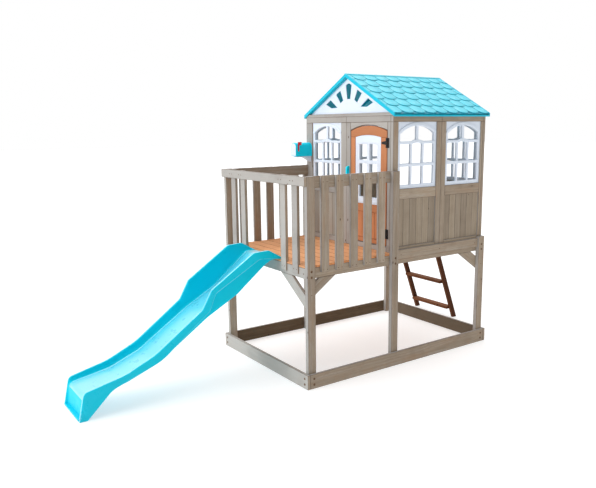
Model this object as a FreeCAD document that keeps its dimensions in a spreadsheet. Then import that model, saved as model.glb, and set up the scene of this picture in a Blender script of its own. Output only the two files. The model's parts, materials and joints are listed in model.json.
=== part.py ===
"""Raised timber playhouse with a porch, a wave slide and a ladder, as a parametric document.

Millimetres, +Z up. The slide and the porch face -Y, the ladder is at the +Y end, and X runs
across the width. The origin is on the ground, at the middle of the whole object's footprint.
"""
import FreeCAD
import Part
import math
import os
import re
from FreeCAD import Placement, Rotation, Vector

# ---------------------------------------------------------------- driving dimensions
SIZES = {
    # timber frame
    "deck_length": 2000, "half_width": 652, "deck_top": 965, "deck_thick": 15, "deck_gap": 3.4,
    "deck_boards": 20, "post_thick": 38, "post_depth": 73, "mid_post_at": 857,
    "rail_top": 1651, "rear_post_top": 1004, "base_height": 118, "base_thick": 25,
    "rim_height": 84, "rim_thick": 25, "front_rim_inset": 12, "ledger_height": 83,
    "ledger_thick": 22, "ledger_low": 907, "joist_thick": 30,
    "front_brace_run": 355, "side_brace_run": 293, "brace_drop_ratio": 0.69, "brace_wide": 89,
    # railings
    "front_rail_height": 71, "front_rail_thick": 25, "side_rail_height": 91, "side_rail_thick": 22,
    "slat_wide": 76, "slat_thick": 25, "slat_low": 893, "slat_lap": 12, "slat_inner": 315,
    "slat_outer": 480, "side_slat_low": 908, "side_slat_wide": 74, "side_slat_thick": 24,
    # house walls
    "house_front": 885, "wall_thick": 32, "wall_top": 2098, "sill_low": 1412, "window_low": 1498,
    "window_high": 2048, "kick_top": 1012, "panel_thick": 12, "panel_inset": 10, "panel_boards": 6,
    "header_top": 2124, "front_window_middle": -296.5, "doorway_left": 62, "doorway_wide": 482,
    "front_seam": 0, "rear_window_middle": 318, "rear_seam": 22, "entry_left": -548,
    "entry_wide": 540,
    "window_wide": 444, "window_thick": 20, "window_inset": 9, "window_margin": 30,
    "window_bar": 22, "bay_seam": 1442,
    # gable and roof
    "gable_thick": 6, "gable_inset": 26, "roof_slope": 0.545, "roof_peak": 2465,
    "roof_half": 635, "roof_thick": 30, "roof_skin": 8, "roof_edge": 14, "roof_front": 872,
    "roof_rear": 2035, "cap_wide": 16, "cap_thick": 4,
    # door
    "door_low": 1016, "door_spring": 1975, "door_apex": 2020, "door_thick": 25, "door_gap": 6,
    "door_left_stile": 62, "door_right_stile": 76, "door_light_low": 1353,
    "door_light_spring": 1923, "door_light_apex": 1941, "door_mid_low": 1283,
    "door_kick_top": 1055, "door_boards": 4, "hinge_tall": 81, "hinge_plate": 2.5,
    "knuckle_radius": 5, "hinge_pin_radius": 2, "pin_play": 0.05, "upper_hinge_low": 1837,
    "lower_hinge_low": 1079,
    # mailbox
    "mailbox_wide": 80, "mailbox_long": 185, "mailbox_low": 1740, "mailbox_high": 1865,
    "mailbox_skin": 3, "mailbox_inner_x": -525, "flag_arm": 80, "flag_thick": 4,
    # slide
    "slide_reach": 1634, "slide_half": 235, "slide_wall": 30, "slide_taper": 35,
    # ladder
    "ladder_reach": 404, "ladder_centre": -306, "ladder_half": 286, "stringer_thick": 28,
    "stringer_foot": 53, "ladder_lean": 0.38, "rung_thick": 26, "rung_pitch": 293, "rung_first": 95,
    # fasteners
    "bolt_radius": 8, "bolt_head": 4, "screw_radius": 3.5, "screw_head": 1.2,
}

doc = FreeCAD.newDocument("Playhouse")
sheet = doc.addObject("Spreadsheet::Sheet", "Sizes")
for row, (alias, number) in enumerate(SIZES.items(), start=1):
    sheet.set(f"A{row}", alias)
    sheet.set(f"B{row}", str(number))
    sheet.setAlias(f"B{row}", alias)
doc.recompute()


def cell(alias):
    """The value of one driving dimension, read back from the sheet."""
    return float(sheet.get(alias))


# ---------------------------------------------------------------- places worked out from the sheet
LENGTH = cell("deck_length")
FRONT = -(LENGTH + cell("ladder_reach") - cell("slide_reach")) / 2     # front plane of the posts
OUTER = cell("half_width")                                            # outer face of the posts
INNER = OUTER - cell("post_thick")                                    # inner face of the posts
DECK = cell("deck_top")
RIM_LOW = DECK - cell("deck_thick") - cell("rim_height")
WALL_Y = FRONT + cell("house_front")                                  # front face of the house
REAR = FRONT + LENGTH
SIDES = (("left", -1), ("right", 1))

UPRIGHT = Rotation()                                         # outline x, y -> X, Y; depth -> +Z
FACING = Rotation(Vector(1, 0, 0), 90)                       # outline x, y -> X, Z; depth -> -Y
SIDEWAYS = Rotation(Vector(0, 1, 0), Vector(0, 0, 1), Vector(1, 0, 0), "XYZ")   # -> Y, Z; depth +X

sub_parts = []


# ---------------------------------------------------------------- modelling helpers
def bind(feature, prop, formula):
    """Drive a property from the sheet; each word of the formula is one of its aliases."""
    feature.setExpression(prop, re.sub(r"[a-z][a-z_]+", lambda word: "Sizes." + word.group(), formula))


def board(name, sizes, corner):
    """A square-edged board: three size formulas along X, Y and Z, and its low corner."""
    box = doc.addObject("Part::Box", name)
    for prop, formula in zip(("Length", "Width", "Height"), sizes):
        bind(box, prop, formula)
    box.Placement = Placement(Vector(*corner), Rotation())
    return box


def round_bar(name, radius, length, start, direction):
    """A cylinder from its start point along a direction, with two size formulas."""
    bar = doc.addObject("Part::Cylinder", name)
    bind(bar, "Radius", radius)
    bind(bar, "Height", length)
    bar.Placement = Placement(Vector(*start), Rotation(Vector(0, 0, 1), Vector(*direction)))
    return bar


def flat(point):
    return Vector(point[0], point[1], 0)


def rounded(corners):
    """Closed outline through (x, y, radius) corners, each radius drawn as a tangent arc."""
    pieces = []
    starts = []
    ends = []
    count = len(corners)
    for i, (x, y, radius) in enumerate(corners):
        here = Vector(x, y, 0)
        to_last = (flat(corners[i - 1]) - here).normalize()
        to_next = (flat(corners[(i + 1) % count]) - here).normalize()
        half = to_last.getAngle(to_next) / 2
        reach = radius / math.tan(half)
        starts.append(here + to_last * reach)
        ends.append(here + to_next * reach)
        if radius:
            middle = (to_last + to_next).normalize()
            depth = radius / math.sin(half) - radius
            pieces.append(Part.Arc(starts[i], here + middle * depth, ends[i]))
    for i in range(count):
        pieces.append(Part.LineSegment(ends[i], starts[(i + 1) % count]))
    return pieces


def polygon(*points):
    return rounded([(x, y, 0) for x, y in points])


def rectangle(x_low, y_low, x_high, y_high):
    return polygon((x_low, y_low), (x_high, y_low), (x_high, y_high), (x_low, y_high))


def arc_height(offset, half_span, spring, apex):
    """Height of a segmental arch at a distance from its centre line."""
    rise = apex - spring
    radius = (half_span ** 2 + rise ** 2) / (2 * rise)
    return apex - radius + math.sqrt(radius ** 2 - offset ** 2)


def arched(x_low, x_high, low, height_at):
    """Outline with a flat foot, two upright sides and a top that follows an arch."""
    middle = (x_low + x_high) / 2
    tops = [Vector(x, height_at(x), 0) for x in (x_high, middle, x_low)]
    feet = [Vector(x_low, low, 0), Vector(x_high, low, 0)]
    return [Part.LineSegment(feet[0], feet[1]), Part.LineSegment(feet[1], tops[0]),
            Part.Arc(*tops), Part.LineSegment(tops[2], feet[0])]


def plate(name, outlines, depth, base, turn):
    """A body padded from a sketch, by a size formula or a length; inner outlines are holes."""
    body = doc.addObject("PartDesign::Body", name)
    sketch = body.newObject("Sketcher::SketchObject", name + "_outline")
    plane = next(item for item in body.Origin.OriginFeatures if item.Role == "XY_Plane")
    sketch.AttachmentSupport = [(plane, "")]
    sketch.MapMode = "FlatFace"
    for outline in outlines:
        sketch.addGeometry(outline, False)
    pad = body.newObject("PartDesign::Pad", name + "_pad")
    pad.Profile = sketch
    if isinstance(depth, str):
        bind(pad, "Length", depth)
    else:
        pad.Length = depth
    body.Placement = Placement(Vector(*base), turn)
    return body


def combine(kind, name, pieces):
    """Part::Compound keeps its pieces as separate solids; Part::MultiFuse makes them one."""
    result = doc.addObject(kind, name)
    if kind == "Part::Compound":
        result.Links = pieces
    else:
        result.Shapes = pieces
    return result


def cut(name, base, tools):
    result = doc.addObject("Part::Cut", name)
    result.Base = base
    result.Tool = tools[0] if len(tools) == 1 else combine("Part::Compound", name + "_tools", tools)
    return result


def sub_part(label, *pieces):
    """Name a finished piece, or a set of loose pieces, as one sub-part."""
    piece = pieces[0] if len(pieces) == 1 else combine("Part::Compound", label, list(pieces))
    piece.Label = label
    sub_parts.append(piece)
    return piece


# ---------------------------------------------------------------- timber frame
def make_base():
    """Four beams on the ground, outside the posts; the end beams cover the corners."""
    thick = cell("base_thick")
    for end, y in (("front", FRONT - thick), ("rear", REAR)):
        sub_part(f"base_{end}_beam", board(
            f"base_{end}", ("2 * half_width + 2 * base_thick", "base_thick", "base_height"),
            (-OUTER - thick, y, 0)))
    for side, sign in SIDES:
        x = OUTER if sign > 0 else -OUTER - thick
        sub_part(f"base_{side}_beam", board(
            f"base_{side}", ("base_thick", "deck_length", "base_height"), (x, FRONT, 0)))


def make_posts():
    rows = (("front", FRONT, "rail_top"), ("mid", FRONT + cell("mid_post_at"), "rail_top"),
            ("rear", REAR - cell("post_depth"), "rear_post_top"))
    for side, sign in SIDES:
        x = INNER if sign > 0 else -OUTER
        for row_name, y, top in rows:
            sub_part(f"post_{row_name}_{side}", board(
                f"post_{row_name}_{side}", ("post_thick", "post_depth", top), (x, y, 0)))


def make_rims_and_joists():
    """The rims carry the deck; two joists run under it between the end rims."""
    inset = cell("front_rim_inset")
    thick = cell("rim_thick")
    ends = (("front", FRONT + inset), ("rear", REAR - thick))
    for end, y in ends:
        sub_part(f"rim_{end}", board(
            f"rim_{end}", ("2 * half_width - 2 * post_thick", "rim_thick", "rim_height"),
            (-INNER, y, RIM_LOW)))
    clear_length = "deck_length - front_rim_inset - 2 * rim_thick"
    y = FRONT + inset + thick
    for side, sign in SIDES:
        x = INNER - thick if sign > 0 else -INNER
        sub_part(f"rim_{side}", board(
            f"rim_{side}", ("rim_thick", clear_length, "rim_height"), (x, y, RIM_LOW)))
    joists = [board("joist", ("joist_thick", clear_length, "rim_height"),
                    (sign * INNER / 3 - cell("joist_thick") / 2, y, RIM_LOW)) for _, sign in SIDES]
    sub_part("deck_joists", *joists)


def make_deck():
    """Boards across the width, evenly spaced over the rims."""
    first = FRONT + cell("front_rim_inset")
    pitch = (REAR - first + cell("deck_gap")) / cell("deck_boards")
    width = "(deck_length - front_rim_inset + deck_gap) / deck_boards - deck_gap"
    boards = [board("deck_board", ("2 * half_width - 2 * post_thick", width, "deck_thick"),
                    (-INNER, first + i * pitch, DECK - cell("deck_thick")))
              for i in range(int(cell("deck_boards")))]
    sub_part("deck_boards", *boards)


def make_ledgers():
    """A board on each side between the middle and rear posts, over the edge of the deck."""
    y = FRONT + cell("mid_post_at") + cell("post_depth")
    length = "deck_length - mid_post_at - 2 * post_depth"
    lows = (INNER, -INNER - cell("ledger_thick"))
    ledgers = [board("ledger", ("ledger_thick", length, "ledger_height"), (x, y, cell("ledger_low")))
               for x in lows]
    sub_part("ledgers", *ledgers)


def make_braces():
    """Sloping braces under the rims: two at the front and one by each side's end posts."""
    drop = cell("brace_drop_ratio")
    rise = cell("brace_wide") * math.hypot(1, drop)
    braces = []
    run = cell("front_brace_run")
    for _, sign in SIDES:
        outline = polygon((sign * INNER, RIM_LOW - run * drop), (sign * (INNER - run), RIM_LOW),
                          (sign * (INNER - run + rise / drop), RIM_LOW),
                          (sign * INNER, RIM_LOW - run * drop + rise))
        braces.append(plate("front_brace", [outline], "rim_thick",
                            (0, FRONT + cell("front_rim_inset") + cell("rim_thick"), 0), FACING))
    run = cell("side_brace_run")
    end = cell("front_rim_inset") + cell("rim_thick")
    for _, sign in SIDES:
        x = INNER - cell("rim_thick") if sign > 0 else -INNER
        for origin, way in ((FRONT, 1), (REAR, -1)):
            foot = RIM_LOW - (run - end) * drop
            outline = polygon((origin + way * end, foot), (origin + way * run, RIM_LOW),
                              (origin + way * (run - rise / drop), RIM_LOW),
                              (origin + way * end, foot + rise))
            braces.append(plate("side_brace", [outline], "rim_thick", (x, 0, 0), SIDEWAYS))
    sub_part("knee_braces", *braces)


# ---------------------------------------------------------------- railings
def make_front_railing():
    """The rail lies outside the posts; its slats stand behind it and lap over the rim."""
    top = cell("rail_top")
    sub_part("rail_front", board(
        "rail_front", ("2 * half_width", "front_rail_thick", "front_rail_height"),
        (-OUTER, FRONT - cell("front_rail_thick"), top - cell("front_rail_height"))))
    half = cell("slat_wide") / 2
    slats = []
    for centre in (-cell("slat_outer"), -cell("slat_inner"), cell("slat_inner"), cell("slat_outer")):
        outline = polygon((FRONT, cell("slat_low")), (FRONT + cell("slat_lap"), cell("slat_low")),
                          (FRONT + cell("slat_lap"), DECK), (FRONT + cell("slat_thick"), DECK),
                          (FRONT + cell("slat_thick"), top), (FRONT, top))
        slats.append(plate("front_slat", [outline], "slat_wide", (centre - half, 0, 0), SIDEWAYS))
    sub_part("balusters_front", *slats)


def side_slat_starts():
    """Low Y of the five slats on each side, evenly spaced between the two posts."""
    clear = cell("mid_post_at") - cell("post_depth")
    wide = cell("side_slat_wide")
    gap = (clear - 5 * wide) / 6
    return [FRONT + cell("post_depth") + gap + i * (wide + gap) for i in range(5)]


def make_side_railings():
    """Each side rail is on the posts' inner faces, with slats on its outer face."""
    for side, sign in SIDES:
        x = INNER - cell("side_rail_thick") if sign > 0 else -INNER
        sub_part(f"rail_{side}", board(
            f"rail_{side}", ("side_rail_thick", "house_front - slat_thick", "side_rail_height"),
            (x, FRONT + cell("slat_thick"), cell("rail_top") - cell("side_rail_height"))))
        x = INNER if sign > 0 else -INNER - cell("side_slat_thick")
        slats = [board("side_slat", ("side_slat_thick", "side_slat_wide", "rail_top - side_slat_low"),
                       (x, y, cell("side_slat_low"))) for y in side_slat_starts()]
        sub_part(f"balusters_{side}", *slats)


# ---------------------------------------------------------------- house walls
# Each wall runs past the end of the next one, so that all four corners are lapped the same way.
DOORWAY = (cell("doorway_left"), cell("doorway_left") + cell("doorway_wide"))
ENTRY = (cell("entry_left"), cell("entry_left") + cell("entry_wide"))
WINDOW_MIDDLES = {"front": cell("front_window_middle"), "rear": cell("rear_window_middle")}
FIRST_BAY = FRONT + (cell("house_front") + cell("bay_seam")) / 2
SECOND_BAY = FRONT + (cell("bay_seam") + LENGTH) / 2
BAYS = {"right": (FIRST_BAY, SECOND_BAY),
        "left": (FIRST_BAY + cell("wall_thick"), SECOND_BAY + cell("wall_thick"))}


def upright(wide, x_low, y_low, along):
    """A stile standing on the deck in a wall that runs along X or along Y."""
    plan = (wide, "wall_thick") if along == "X" else ("wall_thick", wide)
    return board("stile", (*plan, "window_high - deck_top"), (x_low, y_low, DECK))


def end_wall_pieces(y, stiles, top_rails, window_middle):
    """Stiles and rails of the front or rear wall, which is two panels side by side."""
    pieces = [upright(wide, x, y, "X") for x, wide in stiles]
    x = window_middle - cell("window_wide") / 2
    for low, height in (("deck_top", "kick_top - deck_top"), ("sill_low", "window_low - sill_low")):
        pieces.append(board("rail", ("window_wide", "wall_thick", height), (x, y, cell(low))))
    for x, wide in top_rails:
        pieces.append(board("top_rail", (wide, "wall_thick", "wall_top - window_high"),
                            (x, y, cell("window_high"))))
    return pieces


def under_roof(x):
    """Height of the roof's underside at a distance from the ridge."""
    return cell("roof_peak") - cell("roof_thick") - cell("roof_slope") * x


def header(y):
    """The board under a gable, its ends cut to the slope of the roof."""
    low, high = cell("wall_top"), cell("header_top")
    corner = under_roof(INNER)
    top_half = (under_roof(0) - high) / cell("roof_slope")
    outline = polygon((-INNER, low), (INNER, low), (INNER, corner), (top_half, high),
                      (-top_half, high), (-INNER, corner))
    return plate("header", [outline], "wall_thick", (0, y + cell("wall_thick"), 0), FACING)


def make_end_walls():
    """The front wall has a window and the doorway; the rear wall has the entry and a window."""
    half_window = cell("window_wide") / 2
    middle, seam = WINDOW_MIDDLES["front"], cell("front_seam")
    stiles = ((-INNER, "half_width - post_thick + front_window_middle - window_wide / 2"),
              (middle + half_window, "front_seam - front_window_middle - window_wide / 2"),
              (seam, "doorway_left - front_seam"),
              (DOORWAY[1], "half_width - post_thick - wall_thick - doorway_left - doorway_wide"))
    top_rails = ((-INNER, "half_width - post_thick + front_seam"),
                 (seam, "half_width - post_thick - wall_thick - front_seam"))
    front = end_wall_pieces(WALL_Y, stiles, top_rails, middle)
    front.append(board("threshold", ("doorway_wide", "wall_thick", "door_low - deck_top - door_gap"),
                       (DOORWAY[0], WALL_Y, DECK)))
    sub_part("wall_front_frame", *front, header(WALL_Y))

    middle, seam = WINDOW_MIDDLES["rear"], cell("rear_seam")
    start = cell("wall_thick") - INNER
    stiles = ((start, "entry_left + half_width - post_thick - wall_thick"),
              (ENTRY[1], "rear_seam - entry_left - entry_wide"),
              (seam, "rear_window_middle - window_wide / 2 - rear_seam"),
              (middle + half_window, "half_width - post_thick - rear_window_middle - window_wide / 2"))
    top_rails = ((start, "rear_seam + half_width - post_thick - wall_thick"),
                 (seam, "half_width - post_thick - rear_seam"))
    y = REAR - cell("wall_thick")
    sub_part("wall_rear_frame", *end_wall_pieces(y, stiles, top_rails, middle), header(y))


def make_door_arch():
    """The board over the door, cut to the door's arch with an even gap."""
    half = cell("doorway_wide") / 2
    middle = (DOORWAY[0] + DOORWAY[1]) / 2
    gap = cell("door_gap")
    spring, apex = cell("door_spring") + gap, cell("door_apex") + gap
    top = cell("window_high")
    arch = Part.Arc(Vector(middle + half, spring, 0), Vector(middle, apex, 0),
                    Vector(middle - half, spring, 0))
    outline = [Part.LineSegment(Vector(middle - half, spring, 0), Vector(middle - half, top, 0)),
               Part.LineSegment(Vector(middle - half, top, 0), Vector(middle + half, top, 0)),
               Part.LineSegment(Vector(middle + half, top, 0), Vector(middle + half, spring, 0)), arch]
    sub_part("door_arch_header", plate("door_arch", [outline], "wall_thick",
                                       (0, WALL_Y + cell("wall_thick"), 0), FACING))


def make_side_walls():
    """Stiles and rails of the two side walls, each of two panels with a window."""
    half_window = cell("window_wide") / 2
    starts = {"right": WALL_Y, "left": WALL_Y + cell("wall_thick")}
    front_stile = "(bay_seam - house_front - window_wide) / 2"
    rear_stile = "(deck_length - bay_seam - window_wide) / 2"
    for side, sign in SIDES:
        start = starts[side]
        low_bay, high_bay = BAYS[side]
        seam = start + cell("bay_seam") - cell("house_front")
        stiles = ((start, front_stile), (low_bay + half_window, front_stile), (seam, rear_stile),
                  (high_bay + half_window, rear_stile + " - wall_thick"))
        x = INNER - cell("wall_thick") if sign > 0 else -INNER
        pieces = [upright(wide, x, y, "Y") for y, wide in stiles]
        for bay in BAYS[side]:
            for low, height in (("deck_top", "kick_top - deck_top"),
                                ("sill_low", "window_low - sill_low")):
                pieces.append(board("rail", ("wall_thick", "window_wide", height),
                                    (x, bay - half_window, cell(low))))
        for y, long in ((start, "bay_seam - house_front"), (seam, "deck_length - bay_seam - wall_thick")):
            pieces.append(board("top_rail", ("wall_thick", long, "wall_top - window_high"),
                                (x, y, cell("window_high"))))
        sub_part(f"wall_{side}_frame", *pieces)


def make_panel_boards():
    """Upright boards below each window, set back from the face of the frame."""
    count = int(cell("panel_boards"))
    pitch = cell("window_wide") / count
    wide = "window_wide / panel_boards"
    high = "sill_low - kick_top"
    half = cell("window_wide") / 2
    low = cell("kick_top")
    inset = cell("panel_inset")
    for end, y in (("front", WALL_Y + inset), ("rear", REAR - inset - cell("panel_thick"))):
        start = WINDOW_MIDDLES[end] - half
        boards = [board("panel_board", (wide, "panel_thick", high), (start + i * pitch, y, low))
                  for i in range(count)]
        sub_part(f"panel_boards_{end}", *boards)
    for side, sign in SIDES:
        x = INNER - inset - cell("panel_thick") if sign > 0 else -INNER + inset
        boards = [board("panel_board", ("panel_thick", wide, high), (x, bay - half + i * pitch, low))
                  for bay in BAYS[side] for i in range(count)]
        sub_part(f"panel_boards_{side}", *boards)


# ---------------------------------------------------------------- windows
# Heights of a window's openings above its foot.
ROWS = {"low": (32, 183), "middle": (209, 367)}
MIDDLE_PANE_APEX = 377
LUNETTE_LOW, LUNETTE_SPRING, LUNETTE_APEX = 391, 453, 518
LUNETTE_MULLION = 26
BAR_ARCH_RISE = 14
BAND = {"half": 214, "spring": 470, "apex": 545}


def window_outlines():
    """Frame, six panes and the two halves of the arched opening, about the window's foot."""
    half = cell("window_wide") / 2
    height = cell("window_high") - cell("window_low")
    clear = half - cell("window_margin")
    pane = (2 * clear - 2 * cell("window_bar")) / 3
    pane_lows = [-clear, -pane / 2, clear - pane]
    outlines = [rectangle(-half, 0, half, height)]
    for row, (low, high) in ROWS.items():
        for column, x in enumerate(pane_lows):
            if row == "middle" and column == 1:
                outlines.append(arched(x, x + pane, low, lambda at: arc_height(
                    at, pane / 2, high, MIDDLE_PANE_APEX)))
            else:
                outlines.append(rectangle(x, low, x + pane, high))
    inner = LUNETTE_MULLION / 2
    bump = LUNETTE_LOW + BAR_ARCH_RISE
    for sign in (-1, 1):
        tops = [arc_height(x, clear, LUNETTE_SPRING, LUNETTE_APEX)
                for x in (clear, (clear + inner) / 2, inner)]
        corners = [Vector(sign * clear, tops[0], 0), Vector(sign * (clear + inner) / 2, tops[1], 0),
                   Vector(sign * inner, tops[2], 0), Vector(sign * inner, bump, 0),
                   Vector(sign * pane / 2, LUNETTE_LOW, 0), Vector(sign * clear, LUNETTE_LOW, 0)]
        outlines.append([Part.Arc(*corners[:3]), Part.LineSegment(corners[2], corners[3]),
                         Part.LineSegment(corners[3], corners[4]),
                         Part.LineSegment(corners[4], corners[5]),
                         Part.LineSegment(corners[5], corners[0])])
    return outlines


def band_outline():
    """The raised band over the arched opening, with a short square foot at each end."""
    clear = cell("window_wide") / 2 - cell("window_margin")
    half, low, high = BAND["half"], LUNETTE_SPRING, BAND["spring"]
    corners = [Vector(-clear, low, 0), Vector(clear, low, 0), Vector(half, low, 0),
               Vector(half, high, 0), Vector(-half, high, 0), Vector(-half, low, 0)]
    return [Part.Arc(corners[0], Vector(0, LUNETTE_APEX, 0), corners[1]),
            Part.LineSegment(corners[1], corners[2]), Part.LineSegment(corners[2], corners[3]),
            Part.Arc(corners[3], Vector(0, BAND["apex"], 0), corners[4]),
            Part.LineSegment(corners[4], corners[5]), Part.LineSegment(corners[5], corners[0])]


def make_window(label, face, turn):
    """A moulded window whose outline plane is its inner side; the band reaches the wall's face."""
    inward = turn.multVec(Vector(0, 0, -1))
    back = face + inward * (cell("window_inset") + cell("window_thick"))
    front = face + inward * cell("window_inset")
    panel = plate(label + "_panel", window_outlines(), "window_thick", back, turn)
    band = plate(label + "_band", [band_outline()], "window_inset", front, turn)
    sub_part(label, combine("Part::MultiFuse", label + "_whole", [panel, band]))


def make_windows():
    low = cell("window_low")
    rearward = Rotation(Vector(0, 0, 1), 180) * FACING
    leftward = Rotation(Vector(0, 0, 1), 180) * SIDEWAYS
    make_window("window_front", Vector(WINDOW_MIDDLES["front"], WALL_Y, low), FACING)
    make_window("window_rear", Vector(WINDOW_MIDDLES["rear"], REAR, low), rearward)
    for i, bay_name in enumerate(("front", "rear")):
        make_window(f"window_right_{bay_name}", Vector(INNER, BAYS["right"][i], low), SIDEWAYS)
        make_window(f"window_left_{bay_name}", Vector(-INNER, BAYS["left"][i], low), leftward)


# ---------------------------------------------------------------- gables and roof
# One side of the sunburst, as (x, height above the gable's foot); the middle ray is its own.
RAYS = (((121, 208), (184, 174), (117, 93), (77, 117)),
        ((268, 130), (336, 91), (252, 53), (160, 56)))
MIDDLE_RAY = ((-40, 238), (-31, 260), (31, 260), (40, 238), (22, 127), (-22, 127))


def make_gables():
    """A triangular panel over each end wall, with the five rays of a sunburst cut through."""
    low = cell("header_top")
    half = (under_roof(0) - low) / cell("roof_slope")
    outlines = [polygon((-half, low), (half, low), (0, under_roof(0))),
                polygon(*[(x, low + up) for x, up in MIDDLE_RAY])]
    for ray in RAYS:
        for sign in (-1, 1):
            outlines.append(polygon(*[(sign * x, low + up) for x, up in ray]))
    inset, thick = cell("gable_inset"), cell("gable_thick")
    for end, y in (("front", WALL_Y + inset + thick), ("rear", REAR - inset)):
        sub_part(f"gable_{end}", plate(f"gable_{end}", outlines, "gable_thick", (0, y, 0), FACING))


def make_roof():
    """Two moulded panels, hollow between their edges and three cross ribs, and a ridge cap."""
    slope, peak, half = cell("roof_slope"), cell("roof_peak"), cell("roof_half")
    thick, skin, edge = cell("roof_thick"), cell("roof_skin"), cell("roof_edge")
    rear = FRONT + cell("roof_rear")
    middle = (FIRST_BAY + SECOND_BAY) / 2
    rib_rows = [(WALL_Y, WALL_Y + cell("wall_thick")),
                (middle - edge, middle + edge),
                (REAR - cell("wall_thick"), REAR)]
    bay_ends = [(rib_rows[0][1], rib_rows[1][0]), (rib_rows[1][1], rib_rows[2][0])]
    for side, sign in SIDES:
        drop = half * slope
        outline = polygon((0, peak), (sign * half, peak - drop), (sign * half, peak - drop - thick),
                          (0, peak - thick))
        panel = plate("roof_panel", [outline], "roof_rear - roof_front", (0, rear, 0), FACING)
        near, far = edge, half - edge
        hollow = polygon((sign * near, peak - near * slope - skin),
                         (sign * far, peak - far * slope - skin),
                         (sign * far, peak - far * slope - 2 * thick),
                         (sign * near, peak - near * slope - 2 * thick))
        tools = [hollow_bay(hollow, low, high) for low, high in bay_ends]
        sub_part(f"roof_{side}", cut(f"roof_{side}", panel, tools))
    wide, cap = cell("cap_wide"), cell("cap_thick")
    outline = polygon((0, peak), (wide, peak - wide * slope), (wide, peak - wide * slope + cap),
                      (0, peak + cap), (-wide, peak - wide * slope + cap), (-wide, peak - wide * slope))
    sub_part("roof_ridge_cap", plate("ridge_cap", [outline], "roof_rear - roof_front",
                                     (0, rear, 0), FACING))


def hollow_bay(outline, low, high):
    """The space inside a roof panel between two of its ribs."""
    return plate("roof_bay", [outline], high - low, (0, high, 0), FACING)


# ---------------------------------------------------------------- door
DOOR_LOW_X = DOORWAY[0] + cell("door_gap")
HINGE_X = DOORWAY[1] - cell("door_gap") / 2
HINGE_Y = WALL_Y - cell("knuckle_radius") - 0.5
DOOR_HIGH_X = DOORWAY[1] - cell("door_gap")
LIGHT = (DOOR_LOW_X + cell("door_left_stile"), DOOR_HIGH_X - cell("door_right_stile"))


def light_arch_at(x):
    middle, half = sum(LIGHT) / 2, (LIGHT[1] - LIGHT[0]) / 2
    return arc_height(x - middle, half, cell("door_light_spring"), cell("door_light_apex"))


def make_door_frame():
    """Two stiles and two cross rails; the arched head is a piece of its own."""
    back = WALL_Y
    low, spring = cell("door_low"), cell("door_light_spring")
    stiles = [board("door_stile", ("door_left_stile", "door_thick", "door_light_spring - door_low"),
                    (DOOR_LOW_X, back, low)),
              board("door_stile", ("door_right_stile", "door_thick", "door_light_spring - door_low"),
                    (LIGHT[1], back, low))]
    wide = "doorway_wide - 2 * door_gap - door_left_stile - door_right_stile"
    rails = [board("door_rail", (wide, "door_thick", "door_light_low - door_mid_low"),
                   (LIGHT[0], back, cell("door_mid_low"))),
             board("door_rail", (wide, "door_thick", "door_kick_top - door_low"),
                   (LIGHT[0], back, low))]
    sub_part("door_frame", *stiles, *rails)
    middle = (DOOR_LOW_X + DOOR_HIGH_X) / 2
    corners = [Vector(DOOR_LOW_X, spring, 0), Vector(DOOR_LOW_X, cell("door_spring"), 0),
               Vector(DOOR_HIGH_X, cell("door_spring"), 0), Vector(DOOR_HIGH_X, spring, 0),
               Vector(LIGHT[1], spring, 0), Vector(LIGHT[0], spring, 0)]
    head = [Part.LineSegment(corners[0], corners[1]),
            Part.Arc(corners[1], Vector(middle, cell("door_apex"), 0), corners[2]),
            Part.LineSegment(corners[2], corners[3]), Part.LineSegment(corners[3], corners[4]),
            Part.Arc(corners[4], Vector(sum(LIGHT) / 2, cell("door_light_apex"), 0), corners[5]),
            Part.LineSegment(corners[5], corners[0])]
    sub_part("door_head", plate("door_head", [head], "door_thick",
                                (0, WALL_Y + cell("door_thick"), 0), FACING))


def make_door_boards():
    count = int(cell("door_boards"))
    wide = "(doorway_wide - 2 * door_gap - door_left_stile - door_right_stile) / door_boards"
    pitch = (LIGHT[1] - LIGHT[0]) / count
    boards = [board("door_board", (wide, "panel_thick", "door_mid_low - door_kick_top"),
                    (LIGHT[0] + i * pitch, WALL_Y + cell("panel_inset"), cell("door_kick_top")))
              for i in range(count)]
    sub_part("door_boards", *boards)


def make_door_light():
    """The arched window in the door: two columns of three panes."""
    columns = ((-116, -17), (17, 116))
    rows = ((59, 187), (217, 345), (375, 503))
    middle = sum(LIGHT) / 2
    low = cell("door_light_low")
    outlines = [arched(LIGHT[0], LIGHT[1], low, light_arch_at)]
    for left, right in columns:
        for bottom, top in rows:
            outlines.append(rectangle(middle + left, low + bottom, middle + right, low + top))
    sub_part("door_light", plate("door_light", outlines, "window_thick",
                                 (0, WALL_Y + 2 + cell("window_thick"), 0), FACING))


# ---------------------------------------------------------------- hand grip
GRIP = {"x": 36, "wide": 20, "low": 1556, "high": 1670, "out": 28, "bar": 11, "foot": 3}


def make_hand_grip():
    """An upright D-shaped grip on the wall beside the doorway."""
    y = WALL_Y
    low, high, out, bar, foot = (GRIP[key] for key in ("low", "high", "out", "bar", "foot"))
    outer = rounded([(y, low, 0), (y, high, 0), (y - out, high - 8, 16), (y - out, low + 8, 16)])
    inner = rounded([(y - foot, low + 18, 2), (y - foot, high - 18, 2),
                     (y - out + bar, high - 22, 5), (y - out + bar, low + 22, 5)])
    wide = GRIP["wide"]
    sub_part("hand_grip", plate("hand_grip", [outer, inner], wide,
                                (GRIP["x"] - wide / 2, 0, 0), SIDEWAYS))


# ---------------------------------------------------------------- door hinges
KNUCKLE_PLAY = 0.5
LEAF = {"near": 6, "far": 27}
STRAP = {"root": 16, "tip": 69, "tip_half": 8}


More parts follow.
